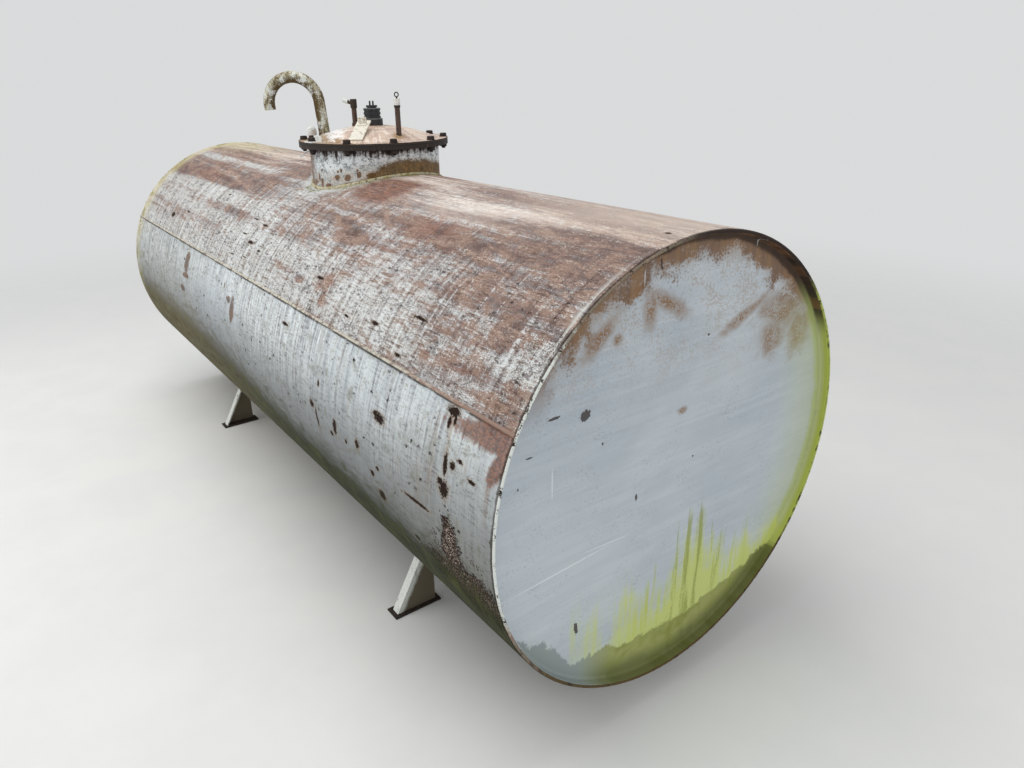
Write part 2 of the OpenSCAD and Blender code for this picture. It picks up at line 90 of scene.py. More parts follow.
def srgb(red: int, green: int, blue: int) -> Colour:
    """Turns a screen colour into the linear colour that a shader takes.

    Args:
        red: Red, 0 to 255.
        green: Green, 0 to 255.
        blue: Blue, 0 to 255.

    Returns:
        The linear colour.
    """

    def linear(part: int) -> float:
        """One channel, made linear."""
        share = part / 255.0
        return share / 12.92 if share <= 0.04045 else ((share + 0.055) / 1.055) ** 2.4

    return linear(red), linear(green), linear(blue)


@dataclass(frozen=True)
class Palette:
    """The colours of the tank's paints, rust and growths, some of them painted light and shade."""

    paint: Colour = srgb(190, 199, 206)
    paint_light: Colour = srgb(242, 248, 250)
    paint_dull: Colour = srgb(140, 143, 145)
    dulled: Colour = srgb(138, 134, 120)
    shadow: Colour = srgb(96, 98, 96)
    end_blue: Colour = srgb(172, 182, 191)
    end_pale: Colour = srgb(188, 196, 202)
    end_stain: Colour = srgb(130, 92, 46)
    haze: Colour = srgb(182, 190, 138)
    wet_olive: Colour = srgb(148, 152, 90)
    wet_grey: Colour = srgb(138, 148, 146)
    algae_glow: Colour = srgb(196, 206, 88)
    lit_lip_green: Colour = srgb(206, 212, 152)
    rust_brown: Colour = srgb(150, 124, 110)
    rust_purple: Colour = srgb(116, 96, 92)
    rust_red: Colour = srgb(148, 100, 78)
    rust_deep: Colour = srgb(92, 70, 62)
    rust_dark: Colour = srgb(40, 27, 21)
    rust_ochre: Colour = srgb(150, 116, 70)
    rust_stain: Colour = srgb(108, 74, 42)
    neck_olive: Colour = srgb(92, 74, 30)
    neck_grey: Colour = srgb(158, 164, 164)
    worn_grey: Colour = srgb(170, 168, 162)
    worn_pale: Colour = srgb(224, 228, 228)
    cover_beige: Colour = srgb(216, 196, 176)
    cover_rosy: Colour = srgb(188, 160, 144)
    bleached: Colour = srgb(226, 210, 196)
    milk: Colour = srgb(246, 238, 230)
    cream: Colour = srgb(222, 214, 190)
    lichen: Colour = srgb(198, 188, 136)
    algae_bright: Colour = srgb(172, 184, 92)
    algae: Colour = srgb(128, 134, 62)
    moss_dark: Colour = srgb(38, 41, 18)
    moss_grey: Colour = srgb(112, 112, 92)
    moss_brown: Colour = srgb(84, 68, 36)
    moss_yellow: Colour = srgb(154, 142, 66)
    soot: Colour = srgb(34, 30, 27)
    steel_dark: Colour = srgb(58, 48, 44)
    rubber: Colour = srgb(26, 24, 23)
    white: Colour = srgb(226, 230, 224)


INK = Palette()


def arithmetic(operation: str, swapped: bool = False) -> Callable[[Value, Number], Value]:
    """Makes an operator that adds one Math node.

    Args:
        operation: The node's operation.
        swapped: Whether the other number comes first.

    Returns:
        The operator.
    """

    def act(value: Value, other: Number) -> Value:
        """Adds the node."""
        return value.net.maths(operation, *((other, value) if swapped else (value, other)))

    return act


class Value:
    """A number that varies from place to place, with arithmetic that adds Math nodes."""

    __add__, __radd__ = arithmetic("ADD"), arithmetic("ADD", True)
    __sub__, __rsub__ = arithmetic("SUBTRACT"), arithmetic("SUBTRACT", True)
    __mul__, __rmul__ = arithmetic("MULTIPLY"), arithmetic("MULTIPLY", True)
    __truediv__, __rtruediv__ = arithmetic("DIVIDE"), arithmetic("DIVIDE", True)
    least, most = arithmetic("MINIMUM"), arithmetic("MAXIMUM")

    def __init__(self, net: Net, socket: Socket) -> None:
        """Wraps one output socket of a node tree."""
        self.net, self.socket = net, socket

    def step(self, low: float, high: float) -> Value:
        """Goes smoothly from 0 at low to 1 at high, and down where low is above high.

        Args:
            low: Where it is 0.
            high: Where it is 1.

        Returns:
            A value of 0 to 1.
        """
        low, high, start, end = (low, high, 0.0, 1.0) if low < high else (high, low, 1.0, 0.0)
        sockets = {0: self, 1: low, 2: high, 3: start, 4: end}
        made = self.net.first("ShaderNodeMapRange", sockets, interpolation_type="SMOOTHSTEP")
        return Value(self.net, made)

    def near(self, middle: float, reach: float) -> Value:
        """Is 1 at a value and fades to 0 at a reach to both sides."""
        return self.net.maths("ABSOLUTE", self - middle).step(reach, 0.0)

    def sway(self, share: float = 1.0) -> Value:
        """A noise about its middle, from about minus to plus half a share."""
        return (self - NOISE_MIDDLE) * share if share != 1.0 else self - NOISE_MIDDLE


@dataclass(frozen=True)
class Mark:
    """A chip, scar, stain or bare patch: an oval at a place on a laid-flat surface, in metres.

    Attributes:
        across: Place along the surface's first direction.
        up: Place along its second direction.
        width: Size along the first direction.
        height: Size along the second direction.
        turn: Turn of the oval, in degrees.
    """

    across: float
    up: float
    width: float
    height: float
    turn: float = 0.0


class Net:
    """A node tree that is built out of expressions."""

    def __init__(self, tree: bpy.types.NodeTree) -> None:
        """Takes the tree that is built."""
        self.tree = tree

    def node(self, kind: str, sockets: dict[Union[int, str], Any] | None = None,
             **settings: Any) -> bpy.types.Node:
        """Adds one node.

        Args:
            kind: Type of the node.
            sockets: Values or links of its inputs, by index or name.
            settings: Its properties, set first.

        Returns:
            The node.
        """
        made = self.tree.nodes.new(kind)
        for key, setting in settings.items():
            setattr(made, key, setting)
        for key, given in (sockets or {}).items():
            if isinstance(given, Value):
                given = given.socket
            if isinstance(given, Socket):
                self.tree.links.new(given, made.inputs[key])
            elif isinstance(given, tuple) and len(made.inputs[key].default_value) == 4:
                made.inputs[key].default_value = (*given, 1.0)
            else:
                made.inputs[key].default_value = given
        return made

    def first(self, kind: str, sockets: dict[Union[int, str], Any] | None = None,
              **settings: Any) -> Socket:
        """Adds one node and gives its first output."""
        return self.node(kind, sockets, **settings).outputs[0]

    def maths(self, operation: str, *values: Number) -> Value:
        """Adds one Math node with its inputs in order, and gives its result."""
        return Value(self, self.first("ShaderNodeMath", dict(enumerate(values)), operation=operation))

    def point(self, across: Number, up: Number, depth: Number = 0.0) -> Socket:
        """Joins three numbers to a vector."""
        return self.first("ShaderNodeCombineXYZ", {0: across, 1: up, 2: depth})

    def length(self, vector: Socket) -> Value:
        """Length of a vector."""
        made = self.node("ShaderNodeVectorMath", {0: vector}, operation="LENGTH")
        return Value(self, made.outputs["Value"])

    def grown(self, vector: Socket, share: Number) -> Socket:
        """A vector times a number."""
        return self.first("ShaderNodeVectorMath", {0: vector, "Scale": share}, operation="SCALE")


class Shade(Net):
    """Builds one material's node tree."""

    def __init__(self, name: str) -> None:
        """Starts an empty material.

        Args:
            name: Name of the material.
        """
        self.material = bpy.data.materials.new(name)
        self.material.use_nodes = True
        super().__init__(self.material.node_tree)
        self.tree.nodes.clear()
        self.coords = self.node("ShaderNodeTexCoord").outputs["Object"]
        parts = self.node("ShaderNodeSeparateXYZ", {0: self.coords}).outputs
        self.x, self.y, self.z = (Value(self, part) for part in parts)

    def noise(self, at: Socket, per_metre: Sequence[float], detail: float = 3.0,
              roughness: float = 0.55, seed: float = 0.0, warp: float = 0.0) -> Value:
        """Noise of about 0 to 1 with its own fineness in each direction.

        Args:
            at: Point on the surface.
            per_metre: Features to the metre along the three directions.
            detail: Octaves.
            roughness: Strength of the finer octaves.
            seed: Shift that sets this noise apart from others.
            warp: Distortion.

        Returns:
            The noise.
        """
        moved = self.first("ShaderNodeMapping",
                           {0: at, 1: (seed, seed * 1.7, seed * 0.6), 3: tuple(per_metre)})
        return Value(self, self.first("ShaderNodeTexNoise", {
            "Vector": moved, "Scale": 1.0, "Detail": detail, "Roughness": roughness, "Distortion": warp}))

    def cells(self, at: Socket, per_metre: Sequence[float], seed: float = 0.0) -> Value:
        """Distance to the nearest of scattered points, so many to the metre in each direction."""
        moved = self.first("ShaderNodeMapping",
                           {0: at, 1: (seed, seed * 1.3, seed * 0.4), 3: tuple(per_metre)})
        return Value(self, self.first("ShaderNodeTexVoronoi", {"Vector": moved, "Scale": 1.0}))

    def mix(self, mask: Number, low: Any, high: Any) -> Socket:
        """Blends two colours: the first where the mask is 0, the second where it is 1."""
        sockets = {0: mask, 6: low, 7: high}
        return self.node("ShaderNodeMix", sockets, data_type="RGBA", clamp_factor=True).outputs[2]

    def marks(self, at: Socket, marks: Iterable[Mark]) -> Value:
        """Distance from the nearest of several marks.

        Args:
            at: Point on the laid-flat surface.
            marks: The marks.

        Returns:
            0 in the middle of a mark and 1 at its edge.
        """
        reaches = []
        for mark in marks:
            sockets = {0: at, 1: (mark.across, mark.up, 0.0), 2: (0.0, 0.0, math.radians(mark.turn)),
                       3: (mark.width / 2, mark.height / 2, 1.0)}
            reaches.append(self.length(self.first("ShaderNodeMapping", sockets, vector_type="TEXTURE")))
        return functools.reduce(Value.least, reaches)


class Skin:
    """A surface built up in layers: its colour, its roughness and its height."""

    def __init__(self, shade: Shade, colour: Any, rough: float) -> None:
        """Starts with a bottom layer.

        Args:
            shade: The material that is built.
            colour: Colour of the bottom layer.
            rough: Its roughness.
        """
        self.shade = shade
        self.colour = colour
        self.rough: Number = rough
        self.height: Number = 0.0

    def lay(self, mask: Number, colour: Any, rough: float | None = None, lift: float = 0.0) -> Skin:
        """Lays a layer over what is there.

        Args:
            mask: Where the layer lies, 0 to 1.
            colour: Its colour.
            rough: Its roughness, or None to keep what is there.
            lift: Height that it adds, in millimetres.

        Returns:
            The skin itself.
        """
        self.colour = self.shade.mix(mask, self.colour, colour)
        if rough is not None:
            self.rough = self.rough + (rough - self.rough) * mask
        if lift:
            self.height = self.height + mask * lift
        return self

    def grain(self, value: Value, lift: float) -> Skin:
        """Adds relief that has no colour of its own, in millimetres."""
        self.height = self.height + value * lift
        return self

    def done(self, specular: float = 0.4, alpha: Number = 1.0) -> Material:
        """Ends the node tree.

        Args:
            specular: Strength of the reflections, 0 to 1.
            alpha: How solid the surface is, 0 to 1.

        Returns:
            The material.
        """
        shade = self.shade
        sockets = {"Base Color": self.colour, "Roughness": self.rough, "Specular IOR Level": specular,
                   "Alpha": alpha}
        if isinstance(self.height, Value):
            relief = {"Strength": 1.0, "Distance": MILLIMETRE, "Height": self.height}
            sockets["Normal"] = shade.first("ShaderNodeBump", relief)
        shade.node("ShaderNodeOutputMaterial", {0: shade.first("ShaderNodeBsdfPrincipled", sockets)})
        return shade.material


def in_scene(name: str, data: bpy.types.ID) -> Piece:
    """Makes an object of a mesh, a camera or a lamp, and puts it in the scene.

    Args:
        name: Name of the object.
        data: What it shows.

    Returns:
        The object.
    """
    made = bpy.data.objects.new(name, data)
    bpy.context.scene.collection.objects.link(made)
    return made


def plain_mesh(name: str, points: Sequence, edges: Sequence = (), faces: Sequence = ()) -> Mesh:
    """Makes a mesh.

    Args:
        name: Name of the mesh.
        points: Its points.
        edges: Its edges, as pairs of points.
        faces: Its faces, each anticlockwise from outside.

    Returns:
        The mesh.
    """
    made = bpy.data.meshes.new(name)
    made.from_pydata(points, edges, faces)
    return made


class Weave(Net):
    """Builds one Geometry Nodes tree with named inputs, and grows a piece with it."""

    KINDS = {float: "NodeSocketFloat", int: "NodeSocketInt", Material: "NodeSocketMaterial"}

    def __init__(self, name: str) -> None:
        """Starts a tree that takes the carrier's mesh.

        Args:
            name: Name of the tree, and of the piece that it grows.
        """
        super().__init__(bpy.data.node_groups.new(name, "GeometryNodeTree"))
        for way in ("INPUT", "OUTPUT"):
            self.tree.interface.new_socket("Geometry", in_out=way, socket_type="NodeSocketGeometry")
        self.start = self.node("NodeGroupInput")
        self.carrier = self.start.outputs["Geometry"]
        self.given: dict[str, Any] = {}

    def entry(self, label: str, given: Any) -> Socket:
        """Adds a named input.

        Args:
            label: Name of the input.
            given: The number or material that this piece takes for it.

        Returns:
            The socket inside the tree.
        """
        kind = next(kind for held, kind in self.KINDS.items() if isinstance(given, held))
        socket = self.tree.interface.new_socket(label, in_out="INPUT", socket_type=kind)
        self.given[socket.identifier] = given
        return self.start.outputs[label]

    def value(self, label: str, given: Union[float, int]) -> Value:
        """Adds a named input that is a number."""
        return Value(self, self.entry(label, given))

    def lumps(self, per_metre: Number, detail: float = 2.0) -> Value:
        """Noise over the place in space.

        Args:
            per_metre: Lumps to the metre.
            detail: Octaves.

        Returns:
            The noise, from about -1 to 1.
        """
        place = self.first("GeometryNodeInputPosition")
        sockets = {"Vector": place, "Scale": per_metre, "Detail": detail}
        return Value(self, self.first("ShaderNodeTexNoise", sockets)) * 2.0 - 1.0

    def swell(self, geometry: Socket, height: Value) -> Socket:
        """Moves a surface along its normals."""
        offset = self.grown(self.first("GeometryNodeInputNormal"), height)
        return self.first("GeometryNodeSetPosition", {"Geometry": geometry, "Offset": offset})

    def grow(self, geometry: Socket, carrier: Mesh,
             material: Material, smooth: bool = True) -> Piece:
        """Ends the tree, runs it and keeps its mesh.

        Args:
            geometry: What the tree has made.
            carrier: Mesh that the tree starts from.
            material: Material of the piece.
            smooth: Whether the faces are shaded smooth.

        Returns:
            The finished piece, in the scene.
        """
        real = self.first("GeometryNodeRealizeInstances", {0: geometry})
        shaded = self.first("GeometryNodeSetShadeSmooth", {"Geometry": real, "Shade Smooth": smooth})
        coat = {"Geometry": shaded, "Material": self.entry("Material", material)}
        self.node("NodeGroupOutput", {"Geometry": self.first("GeometryNodeSetMaterial", coat)})
        piece = in_scene(self.tree.name, carrier)
        modifier = piece.modifiers.new("grow", "NODES")
        modifier.node_group = self.tree
        for identifier, given in self.given.items():
            modifier[identifier] = given
        graph = bpy.context.evaluated_depsgraph_get()
        grown = bpy.data.meshes.new_from_object(piece.evaluated_get(graph), depsgraph=graph)
        piece.modifiers.clear()
        piece.data = grown
        return piece


class Solid:
    """Points and faces of closed forms that share one mesh."""

    def __init__(self) -> None:
        """Starts empty."""
        self.points: list[Place] = []
        self.faces: list[tuple[int, ...]] = []

    def stack(self, rings: Sequence[Sequence[Place]]) -> Solid:
        """Adds a closed form whose skin runs from ring to ring, from the lowest up.

        Args:
            rings: Rings of points of one count, each anticlockwise from above.

        Returns:
            The solid itself.
        """
        first, count = len(self.points), len(rings[0])
        for ring in rings:
            self.points.extend(ring)
        for level in range(len(rings) - 1):
            base = first + level * count
            for i in range(count):
                after = (i + 1) % count
                self.faces.append((base + i, base + after, base + count + after, base + count + i))
        self.faces.append(tuple(first + i for i in reversed(range(count))))
        top = first + (len(rings) - 1) * count
        self.faces.append(tuple(top + i for i in range(count)))
        return self

    def turned(self, profile: Sequence[tuple[float, float]], flats: float = 0.0, sides: int = 48) -> Solid:
        """Adds a turned form, cut to a hexagon where flats is given.

        Args:
            profile: Radius and height of each ring, from the lowest up.
            flats: Width across the flats of the hexagon, or 0 for a round form.
            sides: Points to the ring.

        Returns:
            The solid itself.
        """
        rings = []
        for radius, height in profile:
            ring = []
            for i in range(sides):
                angle = 2 * math.pi * i / sides
                off_flat = (angle + math.pi / 6) % (math.pi / 3) - math.pi / 6
                reach = min(radius, flats / 2 / math.cos(off_flat)) if flats else radius
                ring.append((reach * math.cos(angle), reach * math.sin(angle), height))
            rings.append(ring)
        return self.stack(rings)

    def mesh(self, name: str) -> Mesh:
        """Makes the mesh."""
        return plain_mesh(name, self.points, faces=self.faces)


def path_mesh(name: str, place: Callable[[float], Vector], count: int, closed: bool) -> Mesh:
    """Makes a chain of edges along a path.

    Args:
        name: Name of the mesh.
        place: Point on the path for a share of 0 to 1.
        count: Number of points.
        closed: Whether the path ends where it starts.

    Returns:
        The mesh.
    """
    last = count if closed else count - 1
    points = [tuple(place(i / last)) for i in range(count)]
    return plain_mesh(name, points, edges=[(i, (i + 1) % count) for i in range(last)])


def sheet_mesh(name: str, place: Callable[[float, float], Vector], columns: int, rows: int) -> Mesh:
    """Makes a grid of faces on a surface, to scatter on.

    Args:
        name: Name of the mesh.
        place: Point on the surface for two shares of 0 to 1.
        columns: Faces along the first share.
        rows: Faces along the second.

    Returns:
        The mesh.
    """
    points = [tuple(place(i / columns, j / rows)) for j in range(rows + 1) for i in range(columns + 1)]
    faces = []
    for j in range(rows):
        for i in range(columns):
            corner = j * (columns + 1) + i
            faces.append((corner, corner + 1, corner + columns + 2, corner + columns + 1))
    return plain_mesh(name, points, faces=faces)


@dataclass(frozen=True)
class Tank:
    """Driving sizes of the tank, read from the frame.

    Attributes:
        axis_z: Height of the shell's axis.
        shell_r: Outer radius of the shell.
        half_len: Half of the shell's length.
        neck_x: Place of the manhole along the shell.
        neck_r: Outer radius of its neck.
        flange_low: Height of the flange's lower face.
        rim_top: Height of the cover's flat rim.
        cover_r: Radius of the cover.
        dish_r: Radius of the cover's dish.
    """

    axis_z: float
    shell_r: float
    half_len: float
    neck_x: float
    neck_r: float
    flange_low: float
    rim_top: float
    cover_r: float
    dish_r: float

    @classmethod
    def measured(cls) -> Tank:
        """Reads the sizes off the boxes of the CAD nodes.

        Returns:
            The sizes.
        """
        nodes = ("near_head", "upper_plate", "manhole_neck", "cover")
        head, upper, neck, cover = (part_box(node) for node in nodes)
        axis_z = (head[0][2] + head[1][2]) / 2
        neck_r = (neck[1][0] - neck[0][0]) / 2
        return cls(axis_z=axis_z, shell_r=upper[1][2] - axis_z, half_len=upper[1][0],
                   neck_x=(neck[0][0] + neck[1][0]) / 2, neck_r=neck_r,
                   flange_low=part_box("neck_flange")[0][2], rim_top=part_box("rim_bracket")[0][2],
                   cover_r=(cover[1][0] - cover[0][0]) / 2, dish_r=neck_r - DISH_IN)

    def on_shell(self, along: float, degrees: float, off: float = 0.0) -> Vector:
        """Point at a place along X, an angle from the crown towards +Y and a height over the shell."""
        angle, reach = math.radians(degrees), self.shell_r + off
        return Vector((along, reach * math.sin(angle), self.axis_z + reach * math.cos(angle)))

    def beside_neck(self, turn: float, reach: float, off: float = 0.0) -> Vector:
        """Point on the shell beside the neck.

        Args:
            turn: Angle round the neck from +X, in degrees.
            reach: Distance from the middle of the neck.
            off: Height over the shell.

        Returns:
            The point.
        """
        across = reach * math.sin(math.radians(turn))
        height = math.sqrt((self.shell_r + off) ** 2 - across ** 2)
        return Vector((self.neck_x + reach * math.cos(math.radians(turn)), across, self.axis_z + height))


LOWER_CHIPS = (
    Mark(1.170, -77.0, 0.056, 0.026), Mark(1.150, -76.6, 0.030, 0.014), Mark(1.372, -90.6, 0.104, 0.011, 2),
    Mark(1.480, -65.4, 0.046, 0.022), Mark(1.472, -68.0, 0.012, 0.030), Mark(1.492, -66.8, 0.010, 0.026),
    Mark(1.492, -76.6, 0.016, 0.050, 4), Mark(1.520, -76.0, 0.020, 0.018), Mark(1.498, -82.2, 0.034, 0.040),
    Mark(1.480, -81.0, 0.026, 0.020), Mark(1.170, -98.0, 0.036, 0.030), Mark(1.130, -93.2, 0.022, 0.016),
    Mark(1.167, -90.5, 0.018, 0.012), Mark(1.046, -88.2, 0.024, 0.026), Mark(0.900, -88.5, 0.022, 0.044),
    Mark(0.872, -91.4, 0.020, 0.013), Mark(0.972, -90.2, 0.013, 0.014), Mark(1.336, -102.5, 0.022, 0.016),
    Mark(0.785, -79.5, 0.014, 0.018), Mark(1.598, -76.5, 0.028, 0.010), Mark(1.545, -74.2, 0.022, 0.010),
    Mark(0.480, -69.7, 0.042, 0.010), Mark(0.735, -87.0, 0.030, 0.022), Mark(0.768, -90.0, 0.012, 0.060, 14),
)
UPPER_CHIPS = (
    Mark(1.180, -61.0, 0.030, 0.010), Mark(1.015, -56.8, 0.040, 0.010), Mark(1.200, -51.0, 0.060, 0.008),
    Mark(0.855, -58.6, 0.034, 0.006), Mark(0.600, -52.6, 0.050, 0.010), Mark(1.635, -7.0, 0.016, 0.010, 20),
    Mark(-1.130, -55.5, 0.050, 0.024), Mark(-0.930, -51.5, 0.040, 0.008), Mark(-0.060, -52.0, 0.052, 0.014),
    Mark(0.050, -53.5, 0.030, 0.008), Mark(-0.160, -50.0, 0.044, 0.006), Mark(-0.150, -43.5, 0.046, 0.005),
    Mark(-0.180, -58.5, 0.040, 0.005), Mark(-0.050, -57.5, 0.036, 0.004), Mark(-0.030, -44.5, 0.050, 0.008),
    Mark(-0.600, -38.0, 0.024, 0.008),
)
END_STAINS = (
    Mark(0.36, 0.36, 0.20, 0.10, -14), Mark(0.33, 0.29, 0.12, 0.12), Mark(0.20, 0.38, 0.20, 0.035, 22),
    Mark(-0.15, 0.46, 0.05, 0.10), Mark(-0.10, 0.47, 0.16, 0.04, -28), Mark(-0.25, 0.41, 0.035, 0.035),
    Mark(-0.01, 0.170, 0.035, 0.020), Mark(0.46, 0.28, 0.10, 0.14), Mark(-0.30, 0.43, 0.16, 0.05, 40),
)
END_CHIPS = (
    Mark(-0.342, 0.252, 0.030, 0.028, 30), Mark(-0.432, 0.271, 0.034, 0.007, 3),
    Mark(-0.500, 0.197, 0.022, 0.004), Mark(-0.161, -0.027, 0.008, 0.020), Mark(-0.285, 0.163, 0.006, 0.009),
    Mark(-0.354, -0.340, 0.012, 0.040, 8), Mark(0.065, 0.356, 0.008, 0.007), Mark(0.046, 0.022, 0.005, 0.007),
    Mark(-0.123, 0.560, 0.006, 0.034, 10), Mark(-0.532, 0.130, 0.004, 0.008),
)
END_SCRATCHES = (
    Mark(-0.436, 0.110, 0.005, 0.090), Mark(-0.175, 0.540, 0.005, 0.040), Mark(-0.40, -0.140, 0.32, 0.006, 3),
    Mark(-0.26, -0.125, 0.18, 0.004, -4), Mark(0.222, 0.565, 0.004, 0.03),
)
DRIPS = (
    Mark(-0.700, -71.0, 0.060, 0.090), Mark(-0.690, -76.0, 0.090, 0.020), Mark(-0.735, -82.0, 0.070, 0.030),
    Mark(-0.045, -77.0, 0.045, 0.090), Mark(-0.090, -74.0, 0.050, 0.026), Mark(-0.160, -70.0, 0.014, 0.030),
)
WEDGE = (Mark(1.66, -65.8, 0.42, 0.066, 6), Mark(1.68, -70.0, 0.05, 0.14, -30))
SCAB = (Mark(1.585, -104.5, 0.36, 0.125), Mark(1.520, -95, 0.075, 0.16))
NECK_BLOTS = (
    Mark(-0.267, 0.035, 0.026, 0.018), Mark(-0.223, 0.027, 0.028, 0.024), Mark(-0.178, 0.029, 0.016, 0.024),
    Mark(-0.135, 0.018, 0.034, 0.018), Mark(-0.262, 0.054, 0.010, 0.010), Mark(-0.247, 0.056, 0.010, 0.012),
    Mark(-0.183, 0.045, 0.010, 0.010), Mark(-0.350, 0.022, 0.016, 0.030), Mark(-0.345, 0.066, 0.010, 0.010),
    Mark(-0.315, 0.012, 0.030, 0.012), Mark(-0.368, 0.040, 0.014, 0.030), Mark(-0.225, 0.006, 0.030, 0.008),
)
SCUFFS = (
    Mark(1.265, -49.0, 0.006, 0.250), Mark(1.385, -46.0, 0.007, 0.290), Mark(1.570, -47.0, 0.020, 0.230),
    Mark(1.330, -57.0, 0.006, 0.090), Mark(0.930, -45.0, 0.005, 0.160), Mark(0.790, -50.0, 0.005, 0.200),
    Mark(1.450, -40.0, 0.005, 0.260),
)
PATCHES = (
    Mark(0.600, -38.0, 0.220, 0.080, 4), Mark(0.645, -53.0, 0.110, 0.070), Mark(0.670, -57.0, 0.040, 0.080),
    Mark(1.080, -31.0, 0.120, 0.060), Mark(1.340, -36.5, 0.100, 0.050), Mark(1.210, -30.0, 0.080, 0.060),
    Mark(0.500, -33.0, 0.140, 0.050), Mark(0.470, -55.5, 0.080, 0.030), Mark(1.540, -47.0, 0.140, 0.080),
)


@dataclass(frozen=True)
class Grain:
    """What the layers of a rolled plate share: its places and its noises.

    Attributes:
        shade: The material that is built.
        flat: Point on the laid-flat shell.
        deg: Angle from the crown to either side, in degrees.
        strokes: Brush strokes round the shell.
        fine: Finer strokes round the shell.
        grit: Specks of a few millimetres.
        specks: Specks of a centimetre.
        dashes: Flakes that lie along the shell.
        patches: Patches of a hand's width.
        bands: Long streaks along the shell.
        large: Slow change over the plates.
    """

    shade: Shade
    flat: Socket
    deg: Value
    strokes: Value
    fine: Value
    grit: Value
    specks: Value
    dashes: Value
    patches: Value
    bands: Value
    large: Value

    @classmethod
    def of(cls, shade: Shade, tank: Tank, seed: float) -> Grain:
        """Lays the shell flat and makes the noises on it.

        Args:
            shade: The material that is built.
            tank: Sizes of the tank.
            seed: Shift of the noises.

        Returns:
            The record.
        """
        around = shade.maths("ARCTAN2", shade.y, shade.z - tank.axis_z) * tank.shell_r
        flat = shade.point(shade.x, around)
        deg = shade.maths("ABSOLUTE", around) * (TO_DEGREES / tank.shell_r)
        return cls(shade=shade, flat=flat, deg=deg,
                   strokes=shade.noise(flat, (70, 3.2, 1), 6.0, 0.66, seed + 1, 0.25),
                   fine=shade.noise(flat, (300, 16, 1), 3.0, 0.6, seed + 2),
                   grit=shade.noise(flat, (300, 360, 1), 2.0, 0.7, seed + 3),
                   specks=shade.noise(flat, (120, 185, 1), 4.0, 0.70, seed + 4, 0.2),
                   dashes=shade.noise(flat, (22, 125, 1), 5.0, 0.70, seed + 10, 0.3),
                   patches=shade.noise(flat, (11, 24, 1), 6.0, 0.68, seed + 5, 0.7),
                   bands=shade.noise(flat, (1.2, 19, 1), 5.0, 0.66, seed + 6, 0.3),
                   large=shade.noise(flat, (1.5, 3.2, 1), 3.0, 0.5, seed + 7))


@dataclass(frozen=True)
class TankFinish:
    """A finish whose marks have their place on the tank.

    Attributes:
        name: Name of the material.
        tank: Sizes of the tank.
        seed: Shift of the patterns, which sets like pieces apart.
    """

    name: str
    tank: Tank
    seed: float = 0.0

    def build(self) -> Material:
        """Builds the material."""
        raise NotImplementedError


class PlateFinish(TankFinish):
    """Weathered paint of a rolled shell plate."""

    def build(self) -> Material:
        """Builds the material.

        Returns:
            The material.
        """
        grain = Grain.of(Shade(self.name), self.tank, self.seed)
        skin = self.layers(grain)
        self.lay_rims(skin, grain)
        skin.grain(grain.fine, 0.10).grain(grain.strokes, 0.22).grain(grain.grit, 0.16)
        skin.grain((grain.specks + grain.dashes.sway(0.7)).step(0.44, 0.56), 0.28)
        return skin.done(specular=0.12)

    def layers(self, grain: Grain) -> Skin:
        """Builds the plate's own layers."""
        raise NotImplementedError

    def paint(self, grain: Grain) -> Socket:
        """Colour of the pale paint, streaked round the shell.

        Args:
            grain: The plate's patterns.

        Returns:
            The colour.
        """
        tone = grain.strokes * 0.6 + grain.fine * 0.25 + grain.patches * 0.15 + grain.dashes.sway(0.3)
        pale = grain.shade.mix(tone.step(0.37, 0.62), INK.paint_dull, INK.paint_light)
        return grain.shade.mix(grain.large.step(0.35, 0.65) * 0.6, pale, INK.paint)

    def from_marks(self, grain: Grain, marks: Iterable[Mark]) -> Value:
        """Distance from marks whose second place is given in degrees from the crown."""
        placed = (replace(mark, up=math.radians(mark.up) * self.tank.shell_r) for mark in marks)
        return grain.shade.marks(grain.flat, placed)

    def lay_chips(self, skin: Skin, grain: Grain, marks: Iterable[Mark]) -> None:
        """Lays chips with a rusty stain round each.

        Args:
            skin: The plate's layers so far.
            grain: The plate's patterns.
            marks: The chips.
        """
        chip = self.from_marks(grain, marks)
        rough = grain.specks.sway(2.4) + grain.grit.sway(1.2)
        skin.lay((chip + rough * 0.5).step(1.9, 1.0) * 0.35, INK.rust_ochre)
        skin.lay((chip + rough).step(1.12, 0.96), INK.rust_dark, 0.8)

    def lay_rims(self, skin: Skin, grain: Grain) -> None:
        """Lays lichen on the far rim; at the near one a green lip, a white painted highlight and a burnt
        strip.

        Args:
            skin: The plate's layers so far.
            grain: The plate's patterns.
        """
        shade, deg, tank = grain.shade, grain.deg, self.tank
        far_edge = (shade.x * -1.0 + grain.patches.sway(0.25)).step(1.54, 1.67) * deg.step(115, 60)
        skin.lay(far_edge * 0.65, shade.mix(grain.patches.step(0.4, 0.6), INK.cream, INK.lichen), 0.85)
        # The green inner lip at the rear: algae, its colours lightened against its shading as painted light.
        inner = shade.length(shade.point(shade.y, shade.z - tank.axis_z))
        inner = inner.step(tank.shell_r - 0.001, tank.shell_r - 0.002)
        lip = shade.mix(shade.x.step(tank.half_len - 0.016, tank.half_len - 0.006), INK.lit_lip_green,
                        INK.algae_bright)
        inner = inner * shade.y.step(0.36, 0.48) * (deg + grain.patches.sway(30)).step(62, 74)
        skin.lay(inner * 0.9, lip, 0.7)
        # Painted highlight: a white strip beside the near rim, where a shallow dent in the shell catches the
        # light.
        strip = shade.x.near(tank.half_len - 0.014, 0.013) * deg.near(38, 26)
        skin.lay(strip * 0.7 * grain.strokes.step(0.35, 0.55), INK.white)
        burnt = shade.x + grain.patches.sway(0.02) + grain.strokes.sway(0.01)
        burnt = burnt.step(tank.half_len - 0.008, tank.half_len - 0.002)
        skin.lay(burnt * 0.7, INK.rust_dark, 0.8)


